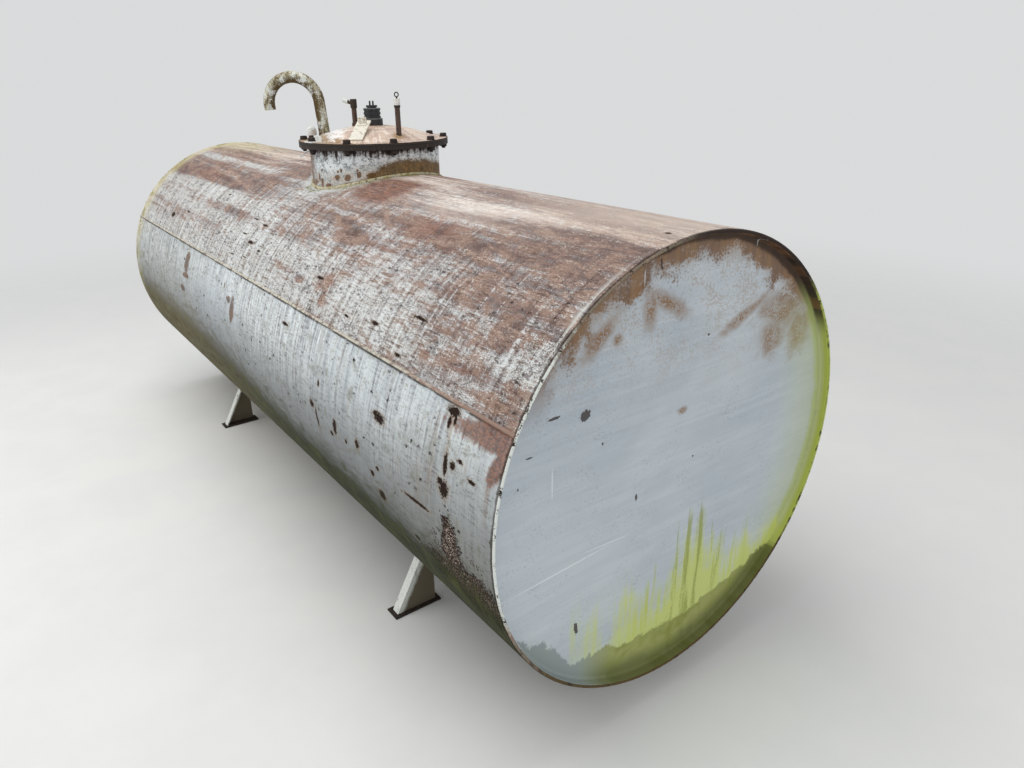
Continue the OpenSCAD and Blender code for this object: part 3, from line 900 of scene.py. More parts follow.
class UpperFinish(PlateFinish):
    """The upper plate: rusted through its paint, bleached on the crown with a painted sheen, mossy round the
    neck.
    """

    def layers(self, grain: Grain) -> Skin:
        """Builds the upper plate's layers.

        Args:
            grain: The plate's patterns.

        Returns:
            The skin.
        """
        shade, deg = grain.shade, grain.deg
        skin = Skin(shade, self.rusted(grain), 0.6)
        # Paint that is left, soft where it is thin and crisp where it breaks.
        bare = self.from_marks(grain, PATCHES)
        bare = (bare + grain.specks.sway(1.5) + grain.patches.sway()).step(1.2, 0.6) * 0.30
        soft = (self.kept(grain) - bare + grain.bands.sway(1.1) + grain.patches.sway()
                + grain.strokes.sway(0.45))
        far = shade.x.step(-0.2, -0.8)
        skin.lay(soft.step(0.20, 0.60) * (0.50 + far * 0.25), self.paint(grain), 0.5)
        crisp = soft + grain.dashes.sway(1.3) + grain.specks.sway(1.1) + grain.grit.sway()
        skin.lay(crisp.step(0.40, 0.56) * (0.85 - far * 0.35), self.paint(grain), 0.5)
        # Bare ticks, dark stains and dots.
        ticks = grain.dashes + grain.strokes.sway(0.7) + grain.grit.sway(0.6)
        skin.lay(ticks.step(0.42, 0.36) * deg.step(12, 30) * 0.7,
                 shade.mix(grain.patches, INK.rust_deep, INK.steel_dark))
        stains = (grain.patches + grain.specks.sway() + grain.dashes.sway(0.5)).step(0.57, 0.67)
        skin.lay(stains * deg.step(10, 26) * 0.75, shade.mix(grain.specks, INK.rust_purple, INK.steel_dark),
                 0.7)
        dots = shade.cells(grain.flat, (26, 60, 1), self.seed + 9) + grain.specks.sway(1.1)
        skin.lay(dots.step(0.20, 0.14) * deg.step(26, 36) * grain.patches.step(0.47, 0.54) * 0.85,
                 INK.steel_dark, 0.8)
        self.lay_crown(skin, grain)
        scuffs = self.from_marks(grain, SCUFFS)
        scuffs = scuffs + grain.specks.sway(3) + grain.dashes.sway(2.6) + grain.grit.sway(2)
        broken = (grain.specks + grain.dashes.sway(1.2)).step(0.44, 0.56)
        skin.lay(scuffs.step(1.2, 0.8) * broken * 0.75, INK.worn_pale)
        self.lay_chips(skin, grain, UPPER_CHIPS)
        return skin

    def rusted(self, grain: Grain) -> Socket:
        """Colour of the rusted steel under the paint.

        Args:
            grain: The plate's patterns.

        Returns:
            The colour.
        """
        shade, deg = grain.shade, grain.deg
        brown = shade.mix(grain.patches.step(0.38, 0.60), INK.rust_brown, INK.rust_purple)
        brown = shade.mix(grain.bands.step(0.54, 0.66) * grain.specks.step(0.36, 0.56) * 0.6, brown,
                          INK.rust_red)
        glow = (grain.large + grain.patches.sway(0.6)).step(0.52, 0.66)
        brown = shade.mix(glow * deg.step(12, 30) * 0.5, brown, INK.rust_red)
        dark = grain.dashes + grain.patches.sway(0.7) + grain.grit.sway(0.4)
        brown = shade.mix(dark.step(0.52, 0.62) * deg.step(6, 24) * 0.7, brown, INK.rust_deep)
        fleck = grain.grit + grain.specks.sway(0.8) + grain.dashes.sway(0.6) + grain.bands.sway(0.5)
        return shade.mix(fleck.step(0.54, 0.66) * 0.5, brown, INK.bleached)

    def paint(self, grain: Grain) -> Socket:
        """Colour of the pale paint, mottled along the shell."""
        tone = grain.dashes * 0.4 + grain.strokes * 0.35 + grain.patches * 0.25 + grain.grit.sway(0.3)
        return grain.shade.mix(tone.step(0.42, 0.57), INK.worn_grey, INK.worn_pale)

    def kept(self, grain: Grain) -> Value:
        """How much of the paint is left at each place.

        Args:
            grain: The plate's patterns.

        Returns:
            The share, 0 to about 1.
        """
        x, deg = grain.shade.x, grain.deg
        keep = deg.step(16, 62) * 0.34 + 0.235 + x.step(0.80, 1.20) * deg.near(25, 8) * 0.08
        keep = keep - x.step(1.10, 1.40) * (0.11 + deg.step(44, 60) * 0.10)
        keep = keep - x.near(0.70, 0.18) * deg.step(34, 46) * 0.11
        keep = keep + x.near(1.62, 0.08) * deg.near(50, 11) * 0.17
        before_neck = x.step(-0.35, -0.05) * x.step(0.32, 0.05)
        keep = keep + before_neck * (deg.step(38, 50) * 0.14 + deg.near(25, 8) * 0.16)
        keep = keep + x.near(-0.08, 0.34) * deg.near(36, 16) * 0.14
        bands = deg.near(39, 5) * 0.30 + deg.near(20, 5) * 0.26 + deg.near(47.5, 2.5) * 0.16
        bands = bands + deg.near(60, 5) * 0.10 - deg.near(52.5, 6) * 0.20 - deg.near(30, 9) * 0.16
        return keep + x.step(-0.30, -0.60) * bands

    def lay_crown(self, skin: Skin, grain: Grain) -> None:
        """Lays the bleached crown with a painted sheen, the rust beside the neck and the growth round its
        foot.

        Args:
            skin: The plate's layers so far.
            grain: The plate's patterns.
        """
        shade, deg = grain.shade, grain.deg
        # The pale crown: bleached paint with a painted sky reflection laid over it, milkiest in the near
        # half.
        milk = deg.near(12, 13) * (shade.x + deg * 0.004).step(0.50, 0.90) * shade.x.step(1.5, 0.9)
        milk = milk * (grain.bands * 0.6 + grain.large * 0.6 + grain.dashes.sway(0.5)).step(0.34, 0.78)
        skin.lay(milk * 0.9, INK.milk, 0.38)
        skin.lay(shade.x.step(0.80, 1.50) * deg.step(18, 2) * 0.5, INK.bleached, 0.4)
        crown = (grain.bands + grain.large.sway(0.6) + grain.dashes.sway(0.5)).step(0.42, 0.62)
        skin.lay(crown * deg.step(24, 4) * 0.6, INK.bleached, 0.42)
        beside = shade.x.near(0.44, 0.24) * deg.near(15, 17)
        skin.lay((beside * 1.3 + grain.patches.sway(1.2) + grain.dashes.sway()).step(0.3, 0.8) * 0.75,
                 shade.mix(grain.dashes.step(0.4, 0.6), INK.rust_deep, INK.rust_red), 0.6)
        far = (shade.x * -1.0 + grain.bands.sway(0.9)).step(0.7, 1.5) * deg.step(18, 2)
        skin.lay(far * 0.6, shade.mix(grain.patches.step(0.4, 0.6), INK.cream, INK.lichen), 0.85)
        from_neck = shade.length(shade.point(shade.x - self.tank.neck_x, shade.y)) - self.tank.neck_r
        foot = (from_neck + grain.patches.sway(0.16) + grain.specks.sway(0.08)).step(0.040, 0.0)
        mossy = shade.mix(grain.specks.step(0.42, 0.58), INK.moss_yellow, INK.rust_ochre)
        skin.lay(foot * shade.y.step(-0.20, -0.08) * 0.8,
                 shade.mix(grain.dashes.step(0.48, 0.60), mossy, INK.cream), 0.85)
        collar = (from_neck + grain.dashes.sway(0.12) + grain.specks.sway(0.05)).step(0.045, 0.022)
        skin.lay(collar * shade.y.step(-0.08, -0.18) * 0.7, INK.worn_pale, 0.6)


@dataclass(frozen=True)
class LowerFinish(PlateFinish):
    """A lower plate: pale paint with drips, chips and a mossy underside, darkened downwards with painted
    shade.

    Attributes:
        marked: Whether the plate carries the chips, the rusted wedge and the rusted-through patch.
    """

    marked: bool = True

    def layers(self, grain: Grain) -> Skin:
        """Builds the lower plate's layers.

        Args:
            grain: The plate's patterns.

        Returns:
            The skin.
        """
        shade, deg = grain.shade, grain.deg
        skin = Skin(shade, self.paint(grain), 0.48)
        sheen = deg.near(69, 12) * (grain.strokes + grain.large.sway(0.6)).step(0.40, 0.66)
        skin.lay(sheen * 0.35, INK.white)
        drips = shade.noise(grain.flat, (34, 2.0, 1), 6.0, 0.68, self.seed + 8)
        drips = drips.step(0.52, 0.68) * deg.step(112, 64)
        drips = drips * (0.35 + shade.maths("ABSOLUTE", shade.x).step(0.8, 1.5) * 0.65)
        skin.lay(drips * 0.6, INK.rust_ochre)
        # Greyer towards the bottom of the plate: dirt, with painted shade.
        low_dirt_and_shade = (deg + grain.patches.sway(12) + grain.strokes.sway(14)).step(68, 97)
        skin.lay(low_dirt_and_shade * 0.78, INK.shadow)
        skin.lay(shade.x.step(-0.2, -0.9) * (0.18 + grain.patches.step(0.40, 0.62) * 0.16), INK.dulled)
        skin.lay(shade.x.step(1.1, 1.5) * deg.step(62, 80) * 0.22, INK.dulled)
        smudge = grain.patches + grain.strokes.sway(0.8) + grain.dashes.sway(0.6)
        skin.lay(smudge.step(0.56, 0.70) * 0.6, INK.moss_grey)
        ticks = grain.dashes + grain.strokes.sway(0.4) + grain.grit.sway(0.8)
        skin.lay(ticks.step(0.37, 0.32) * 0.7, INK.rust_deep)
        # Painted shadow: a ragged dark line just under the seam.
        seam_shadow_line = deg.near(SEAM + 0.55, 0.55) * (grain.dashes + grain.patches.sway()).step(0.36, 0.50)
        skin.lay(seam_shadow_line * 0.9, INK.rust_dark)
        dots = shade.cells(grain.flat, (22, 30, 1), self.seed + 9) + grain.specks.sway(0.9)
        skin.lay(dots.step(0.15, 0.11) * deg.step(101, 90) * grain.patches.step(0.45, 0.55), INK.rust_dark,
                 0.8)
        if self.marked:
            self.lay_marks(skin, grain)
        # The mossy underside, darker towards the bottom: moss and painted shade.
        low = deg + grain.patches.sway(16) + grain.strokes.sway(8) + shade.x.step(0.6, -0.6) * 7
        mossy = shade.mix(grain.patches.step(0.20, 0.90), INK.moss_brown, INK.moss_grey)
        skin.lay(low.step(93, 108) * 0.93, shade.mix(shade.x.step(0.7, -1.0), INK.moss_dark, mossy), 0.85)
        skin.lay(low.step(98, 110) * (grain.patches + grain.strokes.sway()).step(0.40, 0.85) * 0.28,
                 INK.algae, 0.85)
        return skin

    def lay_marks(self, skin: Skin, grain: Grain) -> None:
        """Lays the chips, the rusted wedge and the rusted-through patch.

        Args:
            skin: The plate's layers so far.
            grain: The plate's patterns.
        """
        shade = grain.shade
        wedge = self.from_marks(grain, WEDGE)
        wedged = (wedge + grain.strokes.sway(0.9) + grain.specks.sway(0.9)).step(1.15, 0.7)
        skin.lay(wedged * 0.85, shade.mix(grain.specks.step(0.4, 0.6), INK.rust_red, INK.rust_deep), 0.7)
        drips = self.from_marks(grain, DRIPS)
        drips = (drips + grain.patches.sway(2.4) + grain.strokes.sway(1.2)).step(1.3, 0.8)
        skin.lay(drips * 0.8, shade.mix(grain.patches.step(0.44, 0.56), INK.rust_stain, INK.rust_deep), 0.8)
        self.lay_chips(skin, grain, LOWER_CHIPS)
        scab = self.from_marks(grain, SCAB)
        edge = scab + grain.patches.sway(1.7) + grain.specks.sway(1.9)
        skin.lay(edge.step(1.12, 0.98), INK.rust_dark, 0.85)
        inner = edge.step(1.0, 0.7)
        skin.lay(inner * (grain.specks + grain.grit.sway(0.8)).step(0.50, 0.62) * 0.5, INK.rust_brown)
        skin.lay(inner * (grain.grit + grain.specks.sway(0.6)).step(0.58, 0.62), INK.bleached)


class EndFinish(TankFinish):
    """Paint of the flat ends, with algae, stains and chips."""

    def build(self) -> Material:
        """Builds the material.

        Returns:
            The material.
        """
        shade = Shade(self.name)
        tank, seed = self.tank, self.seed
        up = shade.z - tank.axis_z
        flat = shade.point(shade.y, up)
        soft = shade.noise(flat, (2.2, 3.0, 1), 4.0, 0.55, seed + 1, 0.4)
        streak = shade.noise(flat, (26, 1.8, 1), 5.0, 0.65, seed + 2)
        fine = shade.noise(flat, (160, 160, 1), 3.0, 0.6, seed + 3)
        patches = shade.noise(flat, (11, 13, 1), 5.0, 0.65, seed + 4, 0.5)
        sweep = shade.noise(flat, (3.0, 40, 1), 3.0, 0.55, seed + 5, 1.2)
        rim = tank.shell_r - shade.length(flat)

        # The pale sheet, with faint brushed streaks and a dirty upper half.
        skin = Skin(shade, shade.mix(soft.step(0.3, 0.7), INK.end_blue, INK.end_pale), 0.48)
        skin.lay(sweep.step(0.35, 0.75) * 0.12, INK.paint_light)
        skin.lay((fine + patches.sway(0.6)).step(0.40, 0.30) * 0.35, INK.paint_dull)
        mottled = up.step(0.10, 0.52) * (patches + fine.sway(1.2) + streak.sway(0.4)).step(0.52, 0.66)
        skin.lay(mottled * 0.4, INK.rust_ochre, 0.6)

        # Stains near the top, the burnt band under the rim, and a dark strip right under it: rust and painted
        # shade.
        rough = patches.sway(3.2) + streak.sway(0.9) + fine.sway(1.6)
        stain = (shade.marks(flat, END_STAINS) + rough).step(1.5, 0.3)
        broken = (fine + streak.sway(0.6) + patches.sway(0.6)).step(0.38, 0.60) * 0.5 + 0.45
        skin.lay(stain * broken, INK.end_stain, 0.65)
        burnt = (rim + patches.sway(0.20) + fine.sway(0.10)).step(0.090, 0.045)
        skin.lay(burnt * up.step(0.24, 0.42) * 0.9,
                 shade.mix(streak.step(0.4, 0.6), INK.rust_stain, INK.end_stain), 0.75)
        # A dark strip close under the rim at the top: rust with painted shade.
        skin.lay((rim + patches.sway(0.03)).step(0.034, 0.024) * up.step(0.22, 0.36) * 0.8, INK.rust_dark,
                 0.8)

        # Algae down the rear side, and the runs that stand on the wet band.
        side = (rim + patches.sway(0.04) + fine.sway(0.02)).step(0.048, 0.020) * shade.y.step(0.36, 0.50)
        skin.lay(side * up.step(0.46, 0.30) * 0.75, INK.algae_bright, 0.7)
        haze = rim.step(0.26, 0.05) * shade.y.step(0.2, 0.5) * up.step(0.46, 0.25)
        skin.lay(haze * 0.38, INK.haze)
        level = up * -1.0 + streak.sway(0.55) + shade.y.near(0.10, 0.17) * 0.13 + soft.sway(0.2)
        field_mask = (level + patches.sway(0.12)).step(0.30, 0.47) * shade.y.step(-0.46, -0.10)
        skin.lay(field_mask * 0.8, INK.algae_glow, 0.7)
        faint = (streak + patches.sway(0.4)).step(0.52, 0.66) * (up * -1.0).step(0.26, 0.40)
        skin.lay(faint * shade.y.step(0.5, -0.1) * 0.4, INK.algae_glow)
        dark_runs = (streak + fine.sway(0.15)).step(0.50, 0.60) * level.step(0.30, 0.38)
        skin.lay(dark_runs * shade.y.near(0.10, 0.30) * 0.65, INK.algae, 0.75)

        # The wet band along the bottom.
        reach = 0.165 - ((shade.y + 0.03) * 2.2) * ((shade.y + 0.03) * 2.2) * 0.075
        reach = reach + shade.y.step(-0.36, -0.46) * 0.06 - shade.y.near(-0.36, 0.07) * 0.03
        wet = rim + (up + 0.625) * 0.35 - reach + patches.sway(0.10) + streak.sway(0.05) + fine.sway(0.02)
        wet = wet.step(0.008, -0.004) * up.step(-0.2, -0.3)
        olive = shade.mix(patches.step(0.42, 0.60), INK.wet_olive, INK.algae)
        shore = (rim + patches.sway(0.1)).step(0.075, 0.02) * shade.y.step(-0.34, -0.20) * 0.6
        damp = shade.mix(shade.y.step(-0.36, -0.22), INK.wet_grey, olive)
        skin.lay(wet * 0.9, shade.mix(shore, damp, INK.moss_dark), 0.8)

        # The pressed skirt beside the rim: burnt at the top with painted shade, green at the rear.
        far_out = shade.maths("ABSOLUTE", shade.x)
        skirt = rim.step(0.014, 0.010)
        skin.lay(skirt * up.step(0.20, 0.34) * 0.9,
                 shade.mix(patches.step(0.4, 0.6), INK.rust_dark, INK.rust_stain), 0.8)
        # The green is lightened against the skirt's shading: algae with painted light.
        lip = shade.mix(far_out.step(tank.half_len - 0.020, tank.half_len - 0.006), INK.lit_lip_green,
                        INK.algae_glow)
        skin.lay(skirt * shade.y.step(0.36, 0.44) * up.step(0.34, 0.22) * up.step(-0.42, -0.34) * 0.92, lip,
                 0.7)

        # Chips and scratches.
        chips = shade.marks(flat, END_CHIPS)
        skin.lay((chips + fine.sway(1.5)).step(1.08, 0.9) * 0.9, INK.steel_dark, 0.8, -0.4)
        scratches = shade.marks(flat, END_SCRATCHES)
        skin.lay((scratches + fine.sway(1.4)).step(1.1, 0.6) * 0.4, INK.paint_light)
        skin.grain(soft, 2.0).grain(fine, 0.06).grain(sweep, 0.06)
        return skin.done()


@dataclass(frozen=True)
class Spot:
    """One more layer of a steel finish, at a place of its own.

    Attributes:
        where: How strongly it lies at each place, from the shade and an unevenness of about -1 to 1.
        colour: Its colour.
        rough: Its roughness.
    """

    where: Callable[[Shade, Value], Number]
    colour: Colour
    rough: float = 0.7


@dataclass(frozen=True)
class SteelFinish:
    """Plain painted or rusty steel of a fitting.

    Attributes:
        name: Name of the material.
        base: Main colour.
        worn: Colour of the worn spots.
        dirt: Colour of what gathers low down and in patches.
        wear: Share of worn spots, 0 to 1.
        grime: Share of dirt, 0 to 1.
        rough: Roughness of the main colour.
        grit: Depth of the surface's grain, in millimetres.
        per_metre: Fineness of the patterns.
        spots: More layers, in order.
    """

    name: str
    base: Colour
    worn: Colour
    dirt: Colour
    wear: float = 0.3
    grime: float = 0.3
    rough: float = 0.6
    grit: float = 0.3
    per_metre: float = 60.0
    spots: tuple[Spot, ...] = ()

    def build(self) -> Material:
        """Builds the material.

        Returns:
            The material.
        """
        shade, scale = Shade(self.name), self.per_metre
        patches = shade.noise(shade.coords, (scale, scale, scale * 0.7), 5.0, 0.65, 1.0, 0.4)
        fine = shade.noise(shade.coords, (scale * 7, scale * 7, scale * 7), 3.0, 0.6, 2.0)
        runs = shade.noise(shade.coords, (scale * 1.6, scale * 1.6, scale * 0.15), 4.0, 0.6, 3.0)
        skin = Skin(shade, self.base, self.rough)
        skin.lay(fine.step(0.4, 0.7) * 0.35, self.worn)
        line = 0.70 - 0.34 * self.grime
        skin.lay((runs + fine.sway(0.2)).step(line, line + 0.14) * 0.8, self.dirt, 0.8)
        line = 0.72 - 0.34 * self.wear
        skin.lay((patches + fine.sway(0.35)).step(line, line + 0.06), self.worn, 0.8, -self.grit)
        ragged = (patches + fine.sway(0.5)) * 2.0 - 1.0
        for spot in self.spots:
            skin.lay(spot.where(shade, ragged), spot.colour, spot.rough)
        skin.grain(fine, self.grit * 0.6)
        return skin.done()


class NeckFinish(TankFinish):
    """Mottled paint of the manhole neck: drips and painted shade under its flange, rust and moss at its foot.
    """

    def build(self) -> Material:
        """Builds the material.

        Returns:
            The material.
        """
        shade, tank = Shade(self.name), self.tank
        turn = shade.maths("ARCTAN2", shade.y, shade.x - tank.neck_x)
        deg = turn * TO_DEGREES
        flat = shade.point(turn * tank.neck_r, shade.z)
        mottle = shade.noise(flat, (42, 48, 1), 5.0, 0.70, 1.0, 0.5)
        grit = shade.noise(flat, (230, 230, 1), 3.0, 0.65, 2.0)
        runs = shade.noise(flat, (70, 5, 1), 4.0, 0.68, 3.0)
        down = tank.flange_low - shade.z
        foot = shade.z - tank.axis_z - shade.maths("SQRT", tank.shell_r ** 2 - shade.y * shade.y)

        pale = (mottle + grit.sway(0.7)).step(0.38, 0.56)
        skin = Skin(shade, shade.mix(pale, INK.neck_grey, INK.paint_light), 0.5)
        skin.lay((grit + mottle.sway(0.7)).step(0.42, 0.34) * 0.6, INK.steel_dark)
        speckled = (grit + mottle.sway(0.8)).step(0.48, 0.56) * foot.step(0.085, 0.025) * 0.75
        skin.lay(speckled, INK.rust_ochre)
        edge = deg.near(-128, 64) + mottle.sway(2.2) + runs.sway(0.8)
        skin.lay(edge.step(0.30, 0.62) * 0.85, INK.rust_stain)
        blots = shade.marks(shade.point(turn * tank.neck_r, foot), NECK_BLOTS)
        skin.lay((blots + grit.sway(2) + mottle.sway(1.5)).step(1.2, 0.9) * 0.9, INK.rust_stain)
        band = foot - deg.step(-48, -10) * 0.052 + mottle.sway(0.06) + grit.sway(0.04)
        olive = shade.mix((grit + runs.sway(0.8)).step(0.42, 0.58), INK.neck_olive, INK.rust_stain)
        skin.lay(band.step(0.010, -0.008) * deg.step(-50, -42) * deg.step(150, 110) * 0.92, olive, 0.7)
        golden = (grit + mottle.sway() + runs.sway(0.5)).step(0.50, 0.57) * band.step(0.006, -0.02)
        skin.lay(golden * deg.step(-54, -46) * deg.step(150, 110) * 0.85, INK.rust_ochre, 0.7)
        skin.lay(foot.step(0.012, 0.003) * 0.7, INK.moss_brown, 0.8)
        # Under the flange: rust drips, darkest close under it as painted shade.
        drips_and_shade = down + runs.sway(0.12) + mottle.sway(0.04)
        skin.lay(drips_and_shade.step(0.036, 0.010) * 0.65, INK.rust_deep)
        skin.lay(drips_and_shade.step(0.018, 0.006) * 0.95, INK.rust_dark, 0.8)
        skin.grain(mottle, 0.5).grain(grit, 0.2)
        return skin.done(specular=0.25)


@dataclass(frozen=True)
class CoverFinish(TankFinish):
    """Stained paint of the dished cover: white on one side, beige on the other, with a dark rusty edge.

    Attributes:
        side_turn: Direction of the beige side, from +X, in degrees.
    """

    side_turn: float = 53.6

    def build(self) -> Material:
        """Builds the material.

        Returns:
            The material.
        """
        shade, tank = Shade(self.name), self.tank
        across = shade.x - tank.neck_x
        flat = shade.point(across, shade.y)
        reach = shade.length(flat)
        spoke = shade.point(across / reach * 0.2, shade.y / reach * 0.2, reach * 0.08)
        runs = shade.noise(spoke, (120, 120, 120), 4.0, 0.65, 1.0)
        mottle = shade.noise(flat, (24, 24, 1), 5.0, 0.68, 2.0, 0.6)
        grit = shade.noise(flat, (190, 190, 1), 3.0, 0.65, 3.0)
        side = math.radians(self.side_turn)
        beside = across * math.cos(side) + shade.y * math.sin(side)

        skin = Skin(shade, shade.mix(mottle.step(0.38, 0.62), INK.cover_beige, INK.cover_rosy), 0.42)
        skin.lay(runs.step(0.50, 0.64) * 0.55, INK.milk)
        skin.lay(runs.step(0.46, 0.34) * 0.45, INK.rust_brown)
        white = beside + mottle.sway(0.30) + runs.sway(0.14)
        skin.lay(white.step(-0.08, -0.14) * 0.65, INK.paint_light)
        ochre = reach + beside * -0.35 + mottle.sway(0.36) + runs.sway(0.2)
        skin.lay(ochre.step(0.225, 0.265) * beside.step(0.02, -0.10) * 0.85, INK.rust_ochre)
        round_filler = (reach + mottle.sway(0.12) + runs.sway(0.10)).step(0.085, 0.045)
        skin.lay(round_filler * 0.7, INK.rust_ochre)
        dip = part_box("dip_pipe")
        foot = shade.point(shade.x - (dip[0][0] + dip[1][0]) / 2 - 0.010,
                           shade.y - (dip[0][1] + dip[1][1]) / 2 + 0.006)
        skin.lay((shade.length(foot) + mottle.sway(0.05)).step(0.036, 0.016) * 0.8, INK.rust_ochre)
        skin.lay((grit + mottle.sway(0.8)).step(0.62, 0.68) * 0.8, INK.rust_deep)
        skin.lay(reach.near(tank.dish_r + 0.002, 0.008) * (mottle + grit.sway()).step(0.35, 0.55) * 0.7,
                 INK.rust_stain)
        flat_rim = reach + mottle.sway(0.012) + grit.sway(0.006)
        skin.lay(flat_rim.step(tank.dish_r + 0.004, tank.cover_r - 0.004) * 0.45, INK.rust_brown, 0.6)
        under = (tank.rim_top - 0.0008 - shade.z).step(0.0, 0.0006)
        under = under * reach.step(tank.dish_r, tank.dish_r + 0.004)
        edge = flat_rim.step(tank.cover_r - 0.004, tank.cover_r - 0.001).most(under)
        skin.lay(edge * 0.95, INK.rust_dark, 0.8)
        skin.grain(runs, 0.3).grain(grit, 0.2)
        return skin.done(specular=0.35)


class Finish(Enum):
    """The finishes that the tank's pieces wear."""

    UPPER = "upper plate"
    FRONT = "front plate"
    REAR = "rear plate"
    NEAR_END = "near end"
    FAR_END = "far end"
    NECK = "neck"
    STRAP = "strap"
    COVER = "cover"
    WELD = "seam weld"
    NECK_WELD = "neck weld"
    RIM = "rim weld"
    DARK = "dark steel"
    RUBBER = "rubber"
    VENT = "vent pipe"
    CAP = "black cap"
    PIPE = "brown pipe"
    WHITE = "white fitting"
    DIP_CAP = "dip cap"
    GAUGE = "gauge head"
    LEG = "leg"
    MOSS = "moss"
    FLAKES = "rust flakes"


def present(piece: Piece, slot: str, *nodes: str) -> Piece:
    """Fixes a piece to the tank and hides the CAD nodes that it replaces.

    Args:
        piece: The piece.
        slot: Material slot of the record. Not used.
        nodes: CAD nodes that the piece replaces.

    Returns:
        The piece.
    """
    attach(piece, BODY)
    if nodes:
        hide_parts(*nodes)
    LOG.info("built %s: %d faces", piece.name, len(piece.data.polygons))
    return piece


@dataclass
class WeldBead:
    """Rippled weld bead along a path.

    Attributes:
        name: Name of the piece.
        node: CAD node that it replaces.
        place: Point on the path for a share of 0 to 1.
        closed: Whether the path ends where it starts.
        radius: Radius of the bead.
        slot: Material slot of the record.
        points: Points that the path is worked out at.
        step: Distance between two rings of the bead.
        pitch: Length of one ripple.
        ripple: Height of a ripple.
        wander: Unevenness of the bead.
    """

    name: str
    node: str
    place: Callable[[float], Vector]
    closed: bool
    radius: float
    slot: str = "rusty_weld"
    points: int = 240
    step: float = 0.0018
    pitch: float = 0.0072
    ripple: float = 0.0007
    wander: float = 0.0008

    def build(self, material: Material) -> Piece:
        """Makes the bead.

        Args:
            material: Its material.

        Returns:
            The piece.
        """
        weave = Weave(self.name)
        curve = weave.first("GeometryNodeMeshToCurve", {"Mesh": weave.carrier})
        sockets = {"Curve": curve, "Length": weave.entry("Step", self.step)}
        even = weave.first("GeometryNodeResampleCurve", sockets, mode="LENGTH")
        kept = weave.node("GeometryNodeCaptureAttribute")
        kept.capture_items.new("FLOAT", "Along")
        weave.tree.links.new(even, kept.inputs[0])
        weave.tree.links.new(weave.node("GeometryNodeSplineParameter").outputs["Length"], kept.inputs[1])
        round_bar = weave.first("GeometryNodeCurvePrimitiveCircle",
                                {"Resolution": 10, "Radius": weave.entry("Radius", self.radius)})
        body = weave.first("GeometryNodeCurveToMesh",
                           {"Curve": kept.outputs[0], "Profile Curve": round_bar, "Fill Caps": True})
        turns = Value(weave, kept.outputs[1]) * math.pi / weave.value("Ripple length", self.pitch)
        crest = weave.maths("ABSOLUTE", weave.maths("SINE", turns))
        crest = crest * weave.value("Ripple height", self.ripple)
        uneven = weave.lumps(90.0) * weave.value("Unevenness", self.wander)
        carrier = path_mesh(self.name, self.place, self.points, self.closed)
        return present(weave.grow(weave.swell(body, crest + uneven), carrier, material), self.slot, self.node)


